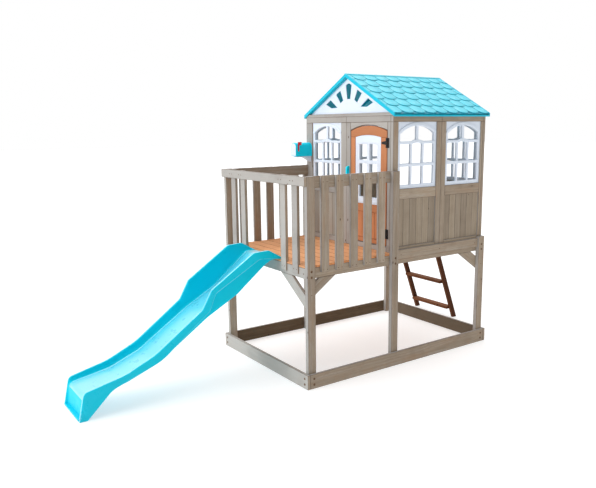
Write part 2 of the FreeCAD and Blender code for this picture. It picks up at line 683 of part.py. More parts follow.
def strap_outline(low, first, high):
    """A strap that tapers from a tall root beside the knuckles to a round tip."""
    top = low + cell("hinge_tall")
    middle = (first + high) / 2
    near, root, tip = (HINGE_X - reach for reach in (LEAF["near"], STRAP["root"], STRAP["tip"]))
    half = STRAP["tip_half"]
    return rounded([(HINGE_X, first, 0), (near, first, 0), (near, low, 0), (root, low, 3),
                    (root, first - 3, 3), (tip, middle - half, 7), (tip, middle + half, 7),
                    (root, high + 3, 3), (root, top, 3), (near, top, 0), (near, high, 0),
                    (HINGE_X, high, 0)])


def make_hinges():
    """Two hinges: a wall plate with two knuckles and the pin, and a tapered strap with one."""
    tall, sheet_thick = cell("hinge_tall"), cell("hinge_plate")
    third = tall / 3
    back = WALL_Y
    near, far = HINGE_X + LEAF["near"], HINGE_X + LEAF["far"]
    wall_sides = []
    straps = []
    for low in (cell("upper_hinge_low"), cell("lower_hinge_low")):
        outline = rounded([(near, low, 0), (far, low, 3), (far, low + tall, 3), (near, low + tall, 0)])
        pieces = [plate("hinge_leaf", [outline], "hinge_plate", (0, back, 0), FACING),
                  round_bar("hinge_pin", "hinge_pin_radius", "hinge_tall", (HINGE_X, HINGE_Y, low),
                            (0, 0, 1))]
        for start in (low, low + tall - third):
            pieces.append(round_bar("hinge_knuckle", "knuckle_radius", "hinge_tall / 3",
                                    (HINGE_X, HINGE_Y, start), (0, 0, 1)))
            pieces.append(board("hinge_web", (str(LEAF["near"]), "hinge_plate", "hinge_tall / 3"),
                                (HINGE_X, back - sheet_thick, start)))
        wall_sides.append(combine("Part::MultiFuse", "hinge_wall_side", pieces))
        first = low + third + KNUCKLE_PLAY
        high = low + 2 * third - KNUCKLE_PLAY
        blade = plate("hinge_blade", [strap_outline(low, first, high)], "hinge_plate",
                      (0, back, 0), FACING)
        eye = round_bar("hinge_eye", "knuckle_radius", f"hinge_tall / 3 - {2 * KNUCKLE_PLAY}",
                        (HINGE_X, HINGE_Y, first), (0, 0, 1))
        bore = round_bar("hinge_bore", "hinge_pin_radius + pin_play", "hinge_tall / 3",
                         (HINGE_X, HINGE_Y, first - KNUCKLE_PLAY), (0, 0, 1))
        strap = combine("Part::MultiFuse", "hinge_strap_blank", [blade, eye])
        straps.append(cut("hinge_strap", strap, [bore]))
    sub_part("hinge_plates", *wall_sides)
    sub_part("hinge_straps", *straps)


# ---------------------------------------------------------------- mailbox
MAILBOX_X = cell("mailbox_inner_x") - cell("mailbox_wide") / 2
MAILBOX_FRONT = WALL_Y - cell("mailbox_long")
LID = {"gap": 1, "thick": 8, "pin": 2, "pin_up": 5}
LID_AXIS = (MAILBOX_FRONT + LID["thick"] / 2, cell("mailbox_low") + cell("mailbox_skin") + LID["pin_up"])
FLAG_PIVOT = (WALL_Y - 156, cell("mailbox_low") + 53)
FLAG_PIN = 3
FLAG_GAP = 0.5


def mailbox_outline(inward, low):
    """A flat floor, upright sides and a half-round top, set in from the outer skin."""
    half = cell("mailbox_wide") / 2
    spring = cell("mailbox_high") - half
    reach = half - inward
    x = MAILBOX_X
    return [Part.LineSegment(Vector(x - reach, low, 0), Vector(x + reach, low, 0)),
            Part.LineSegment(Vector(x + reach, low, 0), Vector(x + reach, spring, 0)),
            Part.Arc(Vector(x + reach, spring, 0), Vector(x, spring + reach, 0),
                     Vector(x - reach, spring, 0)),
            Part.LineSegment(Vector(x - reach, spring, 0), Vector(x - reach, low, 0))]


def make_mailbox():
    skin, low = cell("mailbox_skin"), cell("mailbox_low")
    half = cell("mailbox_wide") / 2
    lid_y, lid_z = LID_AXIS
    block = plate("mailbox_block", [mailbox_outline(0, low)], "mailbox_long", (0, WALL_Y, 0), FACING)
    hollow = plate("mailbox_hollow", [mailbox_outline(skin, low + skin)], "mailbox_long",
                   (0, WALL_Y - skin, 0), FACING)
    lid_bore = round_bar("lid_bore", f"{LID['pin']} + pin_play", "mailbox_wide",
                         (MAILBOX_X - half, lid_y, lid_z), (1, 0, 0))
    flag_bore = round_bar("flag_bore", f"{FLAG_PIN} + pin_play", "mailbox_skin",
                          (MAILBOX_X + half - skin, *FLAG_PIVOT), (1, 0, 0))
    sub_part("mailbox_body", cut("mailbox_body", block, [hollow, lid_bore, flag_bore]))

    reach = half - skin - LID["gap"]
    door = plate("lid_plate", [mailbox_outline(skin + LID["gap"], lid_z)], LID["thick"],
                 (0, MAILBOX_FRONT + LID["thick"], 0), FACING)
    heel = round_bar("lid_heel", str(LID["thick"] / 2), f"{2 * reach}",
                     (MAILBOX_X - reach, lid_y, lid_z), (1, 0, 0))
    pin = round_bar("lid_pin", str(LID["pin"]), f"{2 * (reach + LID['gap'] + skin) - 1}",
                    (MAILBOX_X - half + 0.5, lid_y, lid_z), (1, 0, 0))
    sub_part("mailbox_door", combine("Part::MultiFuse", "mailbox_door", [door, heel, pin]))

    gusset = polygon((MAILBOX_FRONT + 20, low), (MAILBOX_FRONT + 20, low - 10), (WALL_Y - 78, low - 10),
                     (WALL_Y, low - 56), (WALL_Y, low))
    sub_part("mailbox_bracket", plate("mailbox_bracket", [gusset], "mailbox_wide - 24",
                                      (MAILBOX_X - half + 12, 0, 0), SIDEWAYS))


def make_flag():
    """An L-shaped flag on a pin through the mailbox's inner wall."""
    y, z = FLAG_PIVOT
    arm = cell("flag_arm")
    side = 6.5
    outline = rounded([(y - side, z - side, 6), (y + side, z - side, 6), (y + side, z + arm - 28, 0),
                       (y + 33, z + arm - 28, 2), (y + 33, z + arm, 2), (y - side, z + arm, 2)])
    face = cell("mailbox_inner_x")
    blade = plate("flag_blade", [outline], "flag_thick", (face + FLAG_GAP, 0, 0), SIDEWAYS)
    pin = round_bar("flag_pin", str(FLAG_PIN), f"mailbox_skin + {FLAG_GAP}",
                    (face - cell("mailbox_skin"), y, z), (1, 0, 0))
    sub_part("mailbox_flag", combine("Part::MultiFuse", "mailbox_flag", [blade, pin]))


# ---------------------------------------------------------------- slide
# Heights of the slide against the distance in front of the posts, with corner radii.
SLIDE_WALL_TOP = ((-45, 975, 0), (80, 1048, 60), (215, 1042, 60), (590, 796, 40), (672, 650, 60),
                  (1060, 375, 500), (1290, 272, 500), (1590, 205, 45))
SLIDE_BED_TOP = ((-45, 973, 0), (50, 973, 60), (365, 722, 150), (640, 572, 200), (1050, 305, 300),
                 (1290, 212, 300), (1595, 165, 45))
SLIDE_LIP_LOW = ((-45, 965, 0), (165, 985, 60), (560, 762, 50), (612, 632, 70), (800, 488, 0),
                 (1010, 322, 400), (1390, 182, 90))
SLIDE_LIP = 18
BED_SHIFT = (-6, -8)
TOE = {"lip": 59, "bed": 30, "high": 12}


def forward(points):
    """Slide points from distances in front of the posts to the document's Y."""
    return [(FRONT - out, z, radius) for out, z, radius in points]


def make_slide():
    """Bed, webs and outer lips, each in its own strip of a plan that closes in towards the toe."""
    reach = cell("slide_reach")
    half, wall = cell("slide_half"), cell("slide_wall")
    under = [(out + BED_SHIFT[0], z + BED_SHIFT[1], radius) for out, z, radius in SLIDE_BED_TOP[1:]]
    bed_under = [(-45, DECK, 0)] + under + [(reach - TOE["bed"] + BED_SHIFT[0], 0, 0)]
    top = forward(SLIDE_WALL_TOP) + forward([(reach, 0, 0)])
    web = rounded(top + forward(reversed(bed_under)))
    lip = rounded(top + forward([(reach - TOE["lip"], 0, 0), *reversed(SLIDE_LIP_LOW)]))
    bed = rounded(forward(SLIDE_BED_TOP + ((reach - TOE["bed"], 0, 0),)) + forward(reversed(bed_under)))
    pieces = [slide_strip("slide_bed", bed, wall - half, half - wall)]
    for _, sign in SIDES:
        root, edge, outside = (sign * x for x in (half - wall, half - SLIDE_LIP, half))
        pieces.append(slide_strip("slide_web", web, min(root, edge), max(root, edge)))
        pieces.append(slide_strip("slide_lip", lip, min(edge, outside), max(edge, outside)))
    toe = ("2 * slide_half - 2 * slide_wall - 2 * slide_taper + 8", str(TOE["bed"] + 6), str(TOE["high"]))
    pieces.append(board("slide_toe", toe, (wall - half + cell("slide_taper") - 4, FRONT - reach, 0)))
    sub_part("slide", combine("Part::MultiFuse", "slide", pieces))


def slide_strip(name, outline, x_low, x_high):
    """A side outline as wide as the whole slide, cut down to a strip that runs inwards to the toe."""
    near, far = FRONT + 50, FRONT - cell("slide_reach")
    far_low, far_high = (x - math.copysign(cell("slide_taper"), x) for x in (x_low, x_high))
    plan = polygon((x_low, near), (x_high, near), (far_high, far), (far_low, far))
    wide = plate(name, [outline], "2 * slide_half", (-cell("slide_half"), 0, 0), SIDEWAYS)
    block = plate("slide_plan", [plan], 1100, (0, 0, 0), UPRIGHT)
    return combine("Part::MultiCommon", name + "_strip", [wide, block])


# ---------------------------------------------------------------- ladder
def make_ladder():
    """Two leaning side boards against the rear rim, with three flat rungs between them."""
    reach, lean, foot = cell("ladder_reach"), cell("ladder_lean"), cell("stringer_foot")
    thick, half = cell("stringer_thick"), cell("ladder_half")
    centre = cell("ladder_centre")
    top = DECK - cell("deck_thick")
    outline = polygon((REAR + reach - foot, 0), (REAR + reach, 0), (REAR + reach - lean * top, top),
                      (REAR, top), (REAR, (reach - foot) / lean))
    stringers = [plate("stringer", [outline], "stringer_thick", (x, 0, 0), SIDEWAYS)
                 for x in (centre - half, centre + half - thick)]
    sub_part("ladder_stringers", *stringers)
    rungs = []
    for i in range(3):
        low = cell("rung_first") + i * cell("rung_pitch")
        high = low + cell("rung_thick")
        sizes = ("2 * ladder_half - 2 * stringer_thick", "stringer_foot * 1.5", "rung_thick")
        corner = (centre - half + thick, REAR + reach - lean * high - 1.5 * foot, low)
        rungs.append(board("rung", sizes, corner))
    sub_part("ladder_rungs", *rungs)


# ---------------------------------------------------------------- fasteners
def bolt_pattern():
    """Seats and directions of the bolt heads: two per beam end and two per post at the rim."""
    seats = []
    post_middle = OUTER - cell("post_thick") / 2
    face = OUTER + cell("base_thick")
    ends = (FRONT + cell("post_depth") / 2, REAR - cell("post_depth") / 2)
    for z in (cell("base_height") * 0.3, cell("base_height") * 0.7):
        for _, sign in SIDES:
            seats.append(((sign * post_middle, FRONT - cell("base_thick"), z), (0, -1, 0)))
            seats.append(((sign * post_middle, REAR + cell("base_thick"), z), (0, 1, 0)))
            for y in ends:
                seats.append(((sign * face, y, z), (sign, 0, 0)))
    middle = FRONT + cell("mid_post_at") + cell("post_depth") / 2
    for z in (RIM_LOW + 19, RIM_LOW + 64):
        for _, sign in SIDES:
            for y in (ends[0], middle, ends[1]):
                seats.append(((sign * OUTER, y, z), (sign, 0, 0)))
    return seats


def screw_pattern():
    """Seats and directions of the screw heads on the slats, the braces and the ledgers."""
    seats = []
    top = cell("rail_top")
    quarter = cell("slat_wide") / 4
    for centre in (-cell("slat_outer"), -cell("slat_inner"), cell("slat_inner"), cell("slat_outer")):
        for x in (centre - quarter, centre + quarter):
            seats.append(((x, FRONT, DECK - 38), (0, -1, 0)))
            seats.append(((x, FRONT - cell("front_rail_thick"), top - 36), (0, -1, 0)))
    for _, sign in SIDES:
        x = sign * (INNER + cell("side_slat_thick"))
        for start in side_slat_starts():
            for y in (start + quarter, start + cell("side_slat_wide") - quarter):
                for z in (DECK - 38, top - 46):
                    seats.append(((x, y, z), (sign, 0, 0)))
        x = sign * (INNER + cell("ledger_thick"))
        middle = FRONT + cell("mid_post_at") + cell("post_depth")
        for y in (middle + 40, (middle + REAR - cell("post_depth")) / 2, REAR - cell("post_depth") - 40):
            seats.append(((x, y, cell("ledger_low") + cell("ledger_height") / 2), (sign, 0, 0)))
        for y in (FRONT + cell("post_depth") / 2, REAR - cell("post_depth") / 2):
            seats.append(((sign * OUTER, y, RIM_LOW - 120), (sign, 0, 0)))
    return seats


def make_fasteners():
    bolts = [round_bar("bolt_head", "bolt_radius", "bolt_head", *seat) for seat in bolt_pattern()]
    screws = [round_bar("screw_head", "screw_radius", "screw_head", *seat) for seat in screw_pattern()]
    sub_part("bolt_heads", *bolts)
    sub_part("screw_heads", *screws)


for maker in (make_base, make_posts, make_rims_and_joists, make_deck, make_ledgers, make_braces,
              make_front_railing, make_side_railings, make_end_walls, make_door_arch,
              make_side_walls, make_panel_boards, make_windows, make_gables, make_roof,
              make_door_frame, make_door_boards, make_door_light, make_hand_grip,
              make_hinges, make_mailbox, make_flag, make_slide, make_ladder, make_fasteners):
    maker()
doc.recompute()


def write_parts():
    """Check every object, then write each sub-part to its own file."""
    for item in doc.Objects:
        if "Invalid" in item.State or "Error" in item.State:
            raise RuntimeError(f"{item.Label} failed: {item.State}")
    os.makedirs("parts", exist_ok=True)
    for piece in sub_parts:
        if piece.Shape.isNull() or not piece.Shape.isValid():
            raise RuntimeError(f"{piece.Label} has no valid shape")
        piece.Shape.exportStep(f"parts/{piece.Label}.step")


write_parts()
print(len(sub_parts), "sub-parts written")
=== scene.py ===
import json
import math
import random

import bmesh
import bpy
from mathutils import Matrix, Vector


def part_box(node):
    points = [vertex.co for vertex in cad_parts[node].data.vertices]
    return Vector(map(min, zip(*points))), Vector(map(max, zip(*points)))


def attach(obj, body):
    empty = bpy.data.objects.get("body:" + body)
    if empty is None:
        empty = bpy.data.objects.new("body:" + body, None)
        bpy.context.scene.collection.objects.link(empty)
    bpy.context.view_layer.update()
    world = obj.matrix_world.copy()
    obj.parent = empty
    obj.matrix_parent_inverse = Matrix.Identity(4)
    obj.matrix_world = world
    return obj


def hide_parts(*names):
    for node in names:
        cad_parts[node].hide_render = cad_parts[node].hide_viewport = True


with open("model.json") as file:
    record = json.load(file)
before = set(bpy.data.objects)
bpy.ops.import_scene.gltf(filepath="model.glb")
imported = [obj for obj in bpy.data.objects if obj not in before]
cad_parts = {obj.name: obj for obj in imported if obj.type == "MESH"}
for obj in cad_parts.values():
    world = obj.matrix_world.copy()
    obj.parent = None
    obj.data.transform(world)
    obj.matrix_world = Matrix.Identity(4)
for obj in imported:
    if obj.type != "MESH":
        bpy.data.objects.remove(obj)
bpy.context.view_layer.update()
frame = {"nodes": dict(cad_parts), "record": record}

BODY_OF = {node: body for body, nodes in frame["record"]["behaviour"]["bodies"].items() for node in nodes}
SLOT_OF = {part["node"]: part["material_slot"] for part in frame["record"]["subparts"]}
SIDES = (("left", -1), ("right", 1))


# ---------------------------------------------------------------- camera, light and floor
CAMERA_AT = (4.607, -3.142, 2.020)
CAMERA_YAW, CAMERA_PITCH, CAMERA_ROLL = 55.04, -10.23, -0.55      # degrees
CAMERA_LENS, CAMERA_SENSOR, CAMERA_SHIFT = 39.46, 36, -0.0173


def make_camera():
    """The viewpoint to the right of the porch, two metres above the ground and looking slightly down."""
    yaw, pitch, roll = (math.radians(angle) for angle in (CAMERA_YAW, CAMERA_PITCH, CAMERA_ROLL))
    ahead = Vector((-math.sin(yaw) * math.cos(pitch), math.cos(yaw) * math.cos(pitch), math.sin(pitch)))
    level = Vector((math.cos(yaw), math.sin(yaw), 0))
    up = level.cross(ahead)
    right = level * math.cos(roll) + up * math.sin(roll)
    top = up * math.cos(roll) - level * math.sin(roll)
    data = bpy.data.cameras.new("camera")
    data.sensor_width = CAMERA_SENSOR
    data.lens = CAMERA_LENS
    data.shift_x = CAMERA_SHIFT
    data.clip_end = 200
    camera = bpy.data.objects.new("camera", data)
    camera.matrix_world = Matrix((right, top, -ahead)).transposed().to_4x4()
    camera.location = CAMERA_AT
    bpy.context.scene.collection.objects.link(camera)
    bpy.context.scene.camera = camera


SURROUND_STRENGTH = 0.18
FLOOR_REACH, FLOOR_TONE, FLOOR_GLOW = 60, 0.56, 0.55


def soft_sun(name, towards, spread, strength, colour):
    """A distant light as wide as a big softbox, given the direction towards it."""
    data = bpy.data.lights.new(name, "SUN")
    data.angle = math.radians(spread)
    data.energy = strength
    data.color = colour
    light = bpy.data.objects.new(name, data)
    light.rotation_euler = Vector(towards).to_track_quat("Z", "Y").to_euler()
    bpy.context.scene.collection.objects.link(light)


def make_surround():
    """A weak even light all round, which the camera and reflections see as plain white."""
    scene = bpy.context.scene
    scene.view_settings.view_transform = "Standard"
    world = bpy.data.worlds.new("studio")
    world.use_nodes = True
    tree = world.node_tree
    surround = tree.nodes["Background"]
    surround.inputs["Color"].default_value = (0.95, 0.98, 1, 1)
    surround.inputs["Strength"].default_value = SURROUND_STRENGTH
    backdrop = tree.nodes.new("ShaderNodeBackground")
    backdrop.inputs["Strength"].default_value = 1.0
    backdrop.inputs["Color"].default_value = (1, 1, 1, 1)
    rays = tree.nodes.new("ShaderNodeLightPath")
    seen = tree.nodes.new("ShaderNodeMath")
    seen.operation = "MAXIMUM"
    tree.links.new(rays.outputs["Is Camera Ray"], seen.inputs[0])
    tree.links.new(rays.outputs["Is Glossy Ray"], seen.inputs[1])
    choice = tree.nodes.new("ShaderNodeMixShader")
    tree.links.new(seen.outputs[0], choice.inputs[0])
    tree.links.new(surround.outputs[0], choice.inputs[1])
    tree.links.new(backdrop.outputs[0], choice.inputs[2])
    tree.links.new(choice.outputs[0], tree.nodes["World Output"].inputs["Surface"])
    scene.world = world


def make_floor():
    """A plain pale floor that gives off some light of its own, so that it comes near to white."""
    mesh = bpy.data.meshes.new("floor")
    corners = [(x * FLOOR_REACH, y * FLOOR_REACH, 0) for x, y in ((-1, -1), (1, -1), (1, 1), (-1, 1))]
    mesh.from_pydata(corners, [], [(0, 1, 2, 3)])
    floor = bpy.data.objects.new("floor", mesh)
    bpy.context.scene.collection.objects.link(floor)
    material = bpy.data.materials.new("pale_floor")
    material.use_nodes = True
    shader = material.node_tree.nodes["Principled BSDF"]
    shader.inputs["Base Color"].default_value = (FLOOR_TONE, FLOOR_TONE, FLOOR_TONE, 1)
    shader.inputs["Emission Color"].default_value = (1, 1, 1, 1)
    shader.inputs["Emission Strength"].default_value = FLOOR_GLOW
    shader.inputs["Roughness"].default_value = 0.9
    mesh.materials.append(material)


def make_studio():
    """The surround, a broad light overhead, a soft key from the front, a weak fill and the floor."""
    make_surround()
    soft_sun("overhead", (-0.30, 0.10, 0.94), 80, 2.8, (1, 1, 1))
    soft_sun("key", (-0.15, -0.93, 0.32), 35, 1.75, (0.94, 0.97, 1))
    soft_sun("fill", (0.80, -0.50, 0.38), 50, 0.42, (1, 0.98, 0.94))
    make_floor()


# ---------------------------------------------------------------- materials
class Nodes:
    """Short calls for building one material's node tree."""

    def __init__(self, name):
        self.material = bpy.data.materials.new(name)
        self.material.use_nodes = True
        self.tree = self.material.node_tree
        self.shader = self.tree.nodes["Principled BSDF"]

    def put(self, value, socket):
        if isinstance(value, bpy.types.NodeSocket):
            self.tree.links.new(value, socket)
        else:
            socket.default_value = value

    def node(self, kind, inputs, **settings):
        made = self.tree.nodes.new(kind)
        for key, value in settings.items():
            setattr(made, key, value)
        for key, value in inputs.items():
            self.put(value, made.inputs[key])
        return made

    def math(self, operation, a, b=0.0):
        return self.node("ShaderNodeMath", {0: a, 1: b}, operation=operation).outputs[0]

    def scaled(self, vector, scale):
        return self.node("ShaderNodeVectorMath", {0: vector, 1: scale}, operation="MULTIPLY").outputs[0]

    def noise(self, vector, scale, detail=3.0, roughness=0.5):
        inputs = {"Vector": vector, "Scale": scale, "Detail": detail, "Roughness": roughness}
        return self.node("ShaderNodeTexNoise", inputs).outputs["Fac"]

    def cells(self, vector):
        return self.node("ShaderNodeTexVoronoi", {"Vector": vector, "Scale": 1.0, "Randomness": 1.0})

    def attribute(self, name, output="Fac"):
        return self.node("ShaderNodeAttribute", {}, attribute_name=name).outputs[output]

    def part(self, colour):
        """The first channel of a colour, here a cell's own random number."""
        return self.node("ShaderNodeSeparateColor", {"Color": colour}).outputs[0]

    def fit(self, value, low, high, to_low=0.0, to_high=1.0):
        return self.node("ShaderNodeMapRange", {"Value": value, "From Min": low, "From Max": high,
                                                "To Min": to_low, "To Max": to_high}).outputs["Result"]

    def blend(self, factor, a, b, kind="MIX"):
        made = self.tree.nodes.new("ShaderNodeMix")
        made.data_type = "RGBA"
        made.blend_type = kind
        for key, value in (("Factor", factor), ("A", a), ("B", b)):
            socket = next(s for s in made.inputs if s.name == key and s.type in ("RGBA", "VALUE")
                          and (key != "Factor") == (s.type == "RGBA") and s.enabled)
            self.put(value, socket)
        return next(s for s in made.outputs if s.type == "RGBA")

    def bump(self, height, distance, strength):
        inputs = {"Height": height, "Distance": distance, "Strength": strength}
        return self.node("ShaderNodeBump", inputs).outputs["Normal"]

    def finish(self, **sockets):
        for key, value in sockets.items():
            self.put(value, self.shader.inputs[key.replace("_", " ")])
        return self.material


def rgb(red, green, blue):
    """A linear colour from the usual 0 to 255 values."""
    linear = [((v / 255 + 0.055) / 1.055) ** 2.4 if v > 10 else v / 3294.6 for v in (red, green, blue)]
    return (*linear, 1)


SMALL_KNOT = 0.010       # a cell whose knot would be smaller than this has none


def wood_knots(n, grain):
    """How far a point is inside a knot's dark heart, and inside the halo round it."""
    cells = n.cells(n.scaled(grain, (3.4, 8.5, 8.5)))
    size = n.fit(n.part(cells.outputs["Color"]), 0.35, 1.0, 0.0, 0.085)
    beyond = n.math("SUBTRACT", cells.outputs["Distance"], size)
    present = n.math("GREATER_THAN", size, SMALL_KNOT)
    heart = n.math("MULTIPLY", n.fit(beyond, -0.015, 0.015, 1.0, 0.0), present)
    halo = n.math("MULTIPLY", n.fit(beyond, 0.0, 0.16, 1.0, 0.0), present)
    return heart, halo


def wood_pins(n, grain):
    """Pin knots: tiny dark dots in about two cells of five."""
    cells = n.cells(n.scaled(grain, (7.0, 15.0, 15.0)))
    rare = n.math("GREATER_THAN", n.part(cells.outputs["Color"]), 0.62)
    return n.math("MULTIPLY", n.fit(cells.outputs["Distance"], 0.070, 0.098, 1.0, 0.0), rare)


def wood_rings(n, grain, halo):
    """Growth rings about an axis beside the board, which bend round the knots."""
    warp = n.noise(n.scaled(grain, (0.10, 1.0, 1.0)), 7.0, 2.0)
    split = n.node("ShaderNodeSeparateXYZ", {"Vector": grain})
    across = n.math("POWER", n.math("ADD", n.math("POWER", split.outputs["Y"], 2.0),
                                    n.math("POWER", split.outputs["Z"], 2.0)), 0.5)
    bend = n.math("ADD", n.math("MULTIPLY", warp, 26.0), n.math("MULTIPLY", halo, 4.0))
    phase = n.math("ADD", n.math("MULTIPLY", across, 620.0), bend)
    return n.math("POWER", n.fit(n.math("SINE", phase), -1.0, 1.0), 2.2)


def wood(name, pale, dark, deep, pale_streak_and_painted_light, contrast=1.0, tan=None):
    """Sawn softwood: rings, fibres, streaks, grit, patches, knots, tone by board and dark arrises.

    Faces that look forward or up are blended towards the pale colour, which is painted light from the
    front and from above.
    """
    n = Nodes(name)
    grain = n.attribute("grain", "Vector")
    heart, halo = wood_knots(n, grain)
    ring = wood_rings(n, grain, halo)
    fibre = n.noise(n.scaled(grain, (9.0, 520.0, 520.0)), 1.0, 4.0, 0.65)
    streak = n.noise(n.scaled(grain, (1.2, 38.0, 38.0)), 1.0, 3.0, 0.6)
    grit = n.noise(n.scaled(grain, (22.0, 150.0, 150.0)), 1.0, 3.0, 0.7)
    patches = n.noise(n.scaled(grain, (3.5, 24.0, 24.0)), 1.0, 4.0, 0.7)
    dirt = n.noise(grain, 5.0, 4.0, 0.6)
    layers = ((n.math("MULTIPLY", ring, 0.42 * contrast), dark),
              (n.fit(fibre, 0.45, 0.75, 0.0, 0.45 * contrast), dark),
              (n.fit(streak, 0.42, 0.72, 0.0, 0.42 * contrast), dark),
              (n.math("MULTIPLY", n.fit(streak, 0.50, 0.25), 0.3 * contrast), pale_streak_and_painted_light),
              (n.fit(grit, 0.50, 0.76, 0.0, 0.62 * contrast), dark),
              (n.fit(patches, 0.50, 0.76, 0.0, 0.55), tan or dark),
              # painted light: faces that look forward or up are made paler and greyer
              (n.math("MULTIPLY", n.attribute("painted_light_share"), 0.75), pale_streak_and_painted_light),
              (n.fit(fibre, 0.50, 0.80, 0.0, 0.24 * contrast), dark),
              (n.math("MULTIPLY", n.fit(dirt, 0.5, 0.8), 0.18), deep),
              (n.math("MULTIPLY", halo, 0.22), deep),
              (n.math("MULTIPLY", heart, 0.90), deep),
              (n.math("MULTIPLY", wood_pins(n, grain), 0.85), deep))
    colour = pale
    for share, over in layers:
        colour = n.blend(share, colour, over)
    tone = n.attribute("tone")
    shade = n.fit(tone, 0.0, 1.0, 0.87, 1.09)
    cool = n.fit(tone, 0.0, 1.0, 0.86, 1.06)
    by_board = n.node("ShaderNodeCombineColor", {0: shade, 1: shade, 2: cool}).outputs[0]
    colour = n.blend(1.0, colour, by_board, "MULTIPLY")
    edge = n.math("MULTIPLY", n.fit(n.attribute("worn"), 0.40, 0.80), n.fit(dirt, 0.35, 0.65, 0.45, 0.95))
    colour = n.blend(edge, colour, deep)
    height = n.math("ADD", n.math("MULTIPLY", fibre, 0.7), n.math("MULTIPLY", ring, 0.3))
    height = n.math("SUBTRACT", height, n.math("MULTIPLY", heart, 0.5))
    return n.finish(Base_Color=colour, Roughness=n.fit(fibre, 0.3, 0.7, 0.62, 0.86),
                    Normal=n.bump(height, 0.0009, 0.8), Specular_IOR_Level=0.14)


COAT_ROUGHNESS = 0.28
SHEEN_ROUGHNESS = 0.45
RUBBED = (0.9, 0.97, 1.0, 1)          # the colour of rubbed streaks
SLIDE_CYAN = (rgb(0, 205, 230), rgb(0, 194, 222))      # the slide is one colour, with five finishes
COARSE = (420.0, 0.00025)             # a coarser orange peel: its scale and depth


def plastic(name, base, shade, roughness=0.35, grain_scale=700.0, bump=0.00012, streaks=0.0, gloss=0.5,
            coat=0.0, sheen=0.0):
    """Moulded plastic: fine orange peel, cloudy tone, dull patches and faint rubbed streaks."""
    n = Nodes(name)
    where = n.node("ShaderNodeTexCoord", {}).outputs["Object"]
    cloud = n.noise(where, 4.5, 3.0, 0.55)
    peel = n.noise(where, grain_scale, 2.0, 0.5)
    dull = n.noise(where, 17.0, 4.0, 0.62)
    rub = n.noise(n.scaled(where, (240.0, 5.0, 5.0)), 1.0, 3.0, 0.7)
    colour = n.blend(n.fit(cloud, 0.3, 0.75, 0.0, 0.55), base, shade)
    colour = n.blend(n.math("MULTIPLY", n.fit(rub, 0.62, 0.8), streaks), colour, RUBBED)
    rough = n.math("ADD", n.fit(dull, 0.3, 0.7, roughness - 0.07, roughness + 0.13),
                   n.math("MULTIPLY", n.fit(rub, 0.6, 0.8), streaks * 0.5))
    return n.finish(Base_Color=colour, Roughness=rough, Normal=n.bump(peel, bump, 0.7),
                    Specular_IOR_Level=gloss, Coat_Weight=coat, Coat_Roughness=COAT_ROUGHNESS,
                    Sheen_Weight=sheen, Sheen_Roughness=SHEEN_ROUGHNESS)


def metal(name, base, rust, metallic, roughness):
    """Coated or plated metal with spots of a second colour."""
    n = Nodes(name)
    where = n.node("ShaderNodeTexCoord", {}).outputs["Object"]
    spots = n.noise(where, 120.0, 4.0, 0.65)
    fine = n.noise(where, 900.0, 2.0)
    colour = n.blend(n.fit(spots, 0.5, 0.68), base, rust)
    n.shader.inputs["Metallic"].default_value = metallic
    return n.finish(Base_Color=colour, Roughness=n.fit(spots, 0.3, 0.7, roughness - 0.08, roughness + 0.2),
                    Normal=n.bump(fine, 0.0001, 0.6))


# The fifth colour of each wood goes on paler streaks and, as painted light, on faces that look forward or
# up.
GREY_WOOD = wood("stained_timber", rgb(176, 160, 143), rgb(144, 128, 111), rgb(80, 56, 38),
                 rgb(176, 174, 173), 1.0, rgb(170, 134, 104))
PANEL_WOOD = wood("stained_panel_boards", rgb(166, 151, 134), rgb(138, 123, 106), rgb(84, 64, 48),
                  rgb(178, 172, 164), 0.6)
# painted shade: a darker wood for the inward faces of the base beams, under the deck
PAINTED_SHADE_WOOD = wood("timber_painted_shade", rgb(104, 88, 70), rgb(78, 64, 50), rgb(46, 34, 24),
                   rgb(120, 106, 90))
DECK_WOOD = wood("cedar_deck_boards", rgb(236, 164, 112), rgb(214, 134, 82), rgb(128, 70, 40),
                 rgb(222, 166, 124), 0.8)
DOOR_WOOD = wood("cedar_door_boards", rgb(178, 108, 70), rgb(150, 82, 46), rgb(106, 52, 28),
                 rgb(206, 140, 100), 0.8)
LADDER_WOOD = wood("cedar_ladder_boards", rgb(92, 50, 26), rgb(62, 32, 16), rgb(34, 16, 8),
                   rgb(122, 76, 46), 0.9)
WHITE = plastic("white_moulding", rgb(228, 236, 248), rgb(214, 224, 240), 0.38)
CYAN = plastic("cyan_slide_moulding", *SLIDE_CYAN, 0.30, streaks=0.03, gloss=0.22)
CHUTE = plastic("cyan_chute_bed", *SLIDE_CYAN, 0.30, streaks=0.05, gloss=1.0, coat=1.0, sheen=1.0)
CHUTE_TOE = plastic("cyan_toe_grip", *SLIDE_CYAN, 0.60, 260.0, 0.0009, gloss=0.5)
CYAN_INNER = plastic("cyan_wall_inside", *SLIDE_CYAN, 0.32, streaks=0.02, gloss=0.12)
CYAN_UNDER = plastic("cyan_underside", *SLIDE_CYAN, 0.62, gloss=0.15)
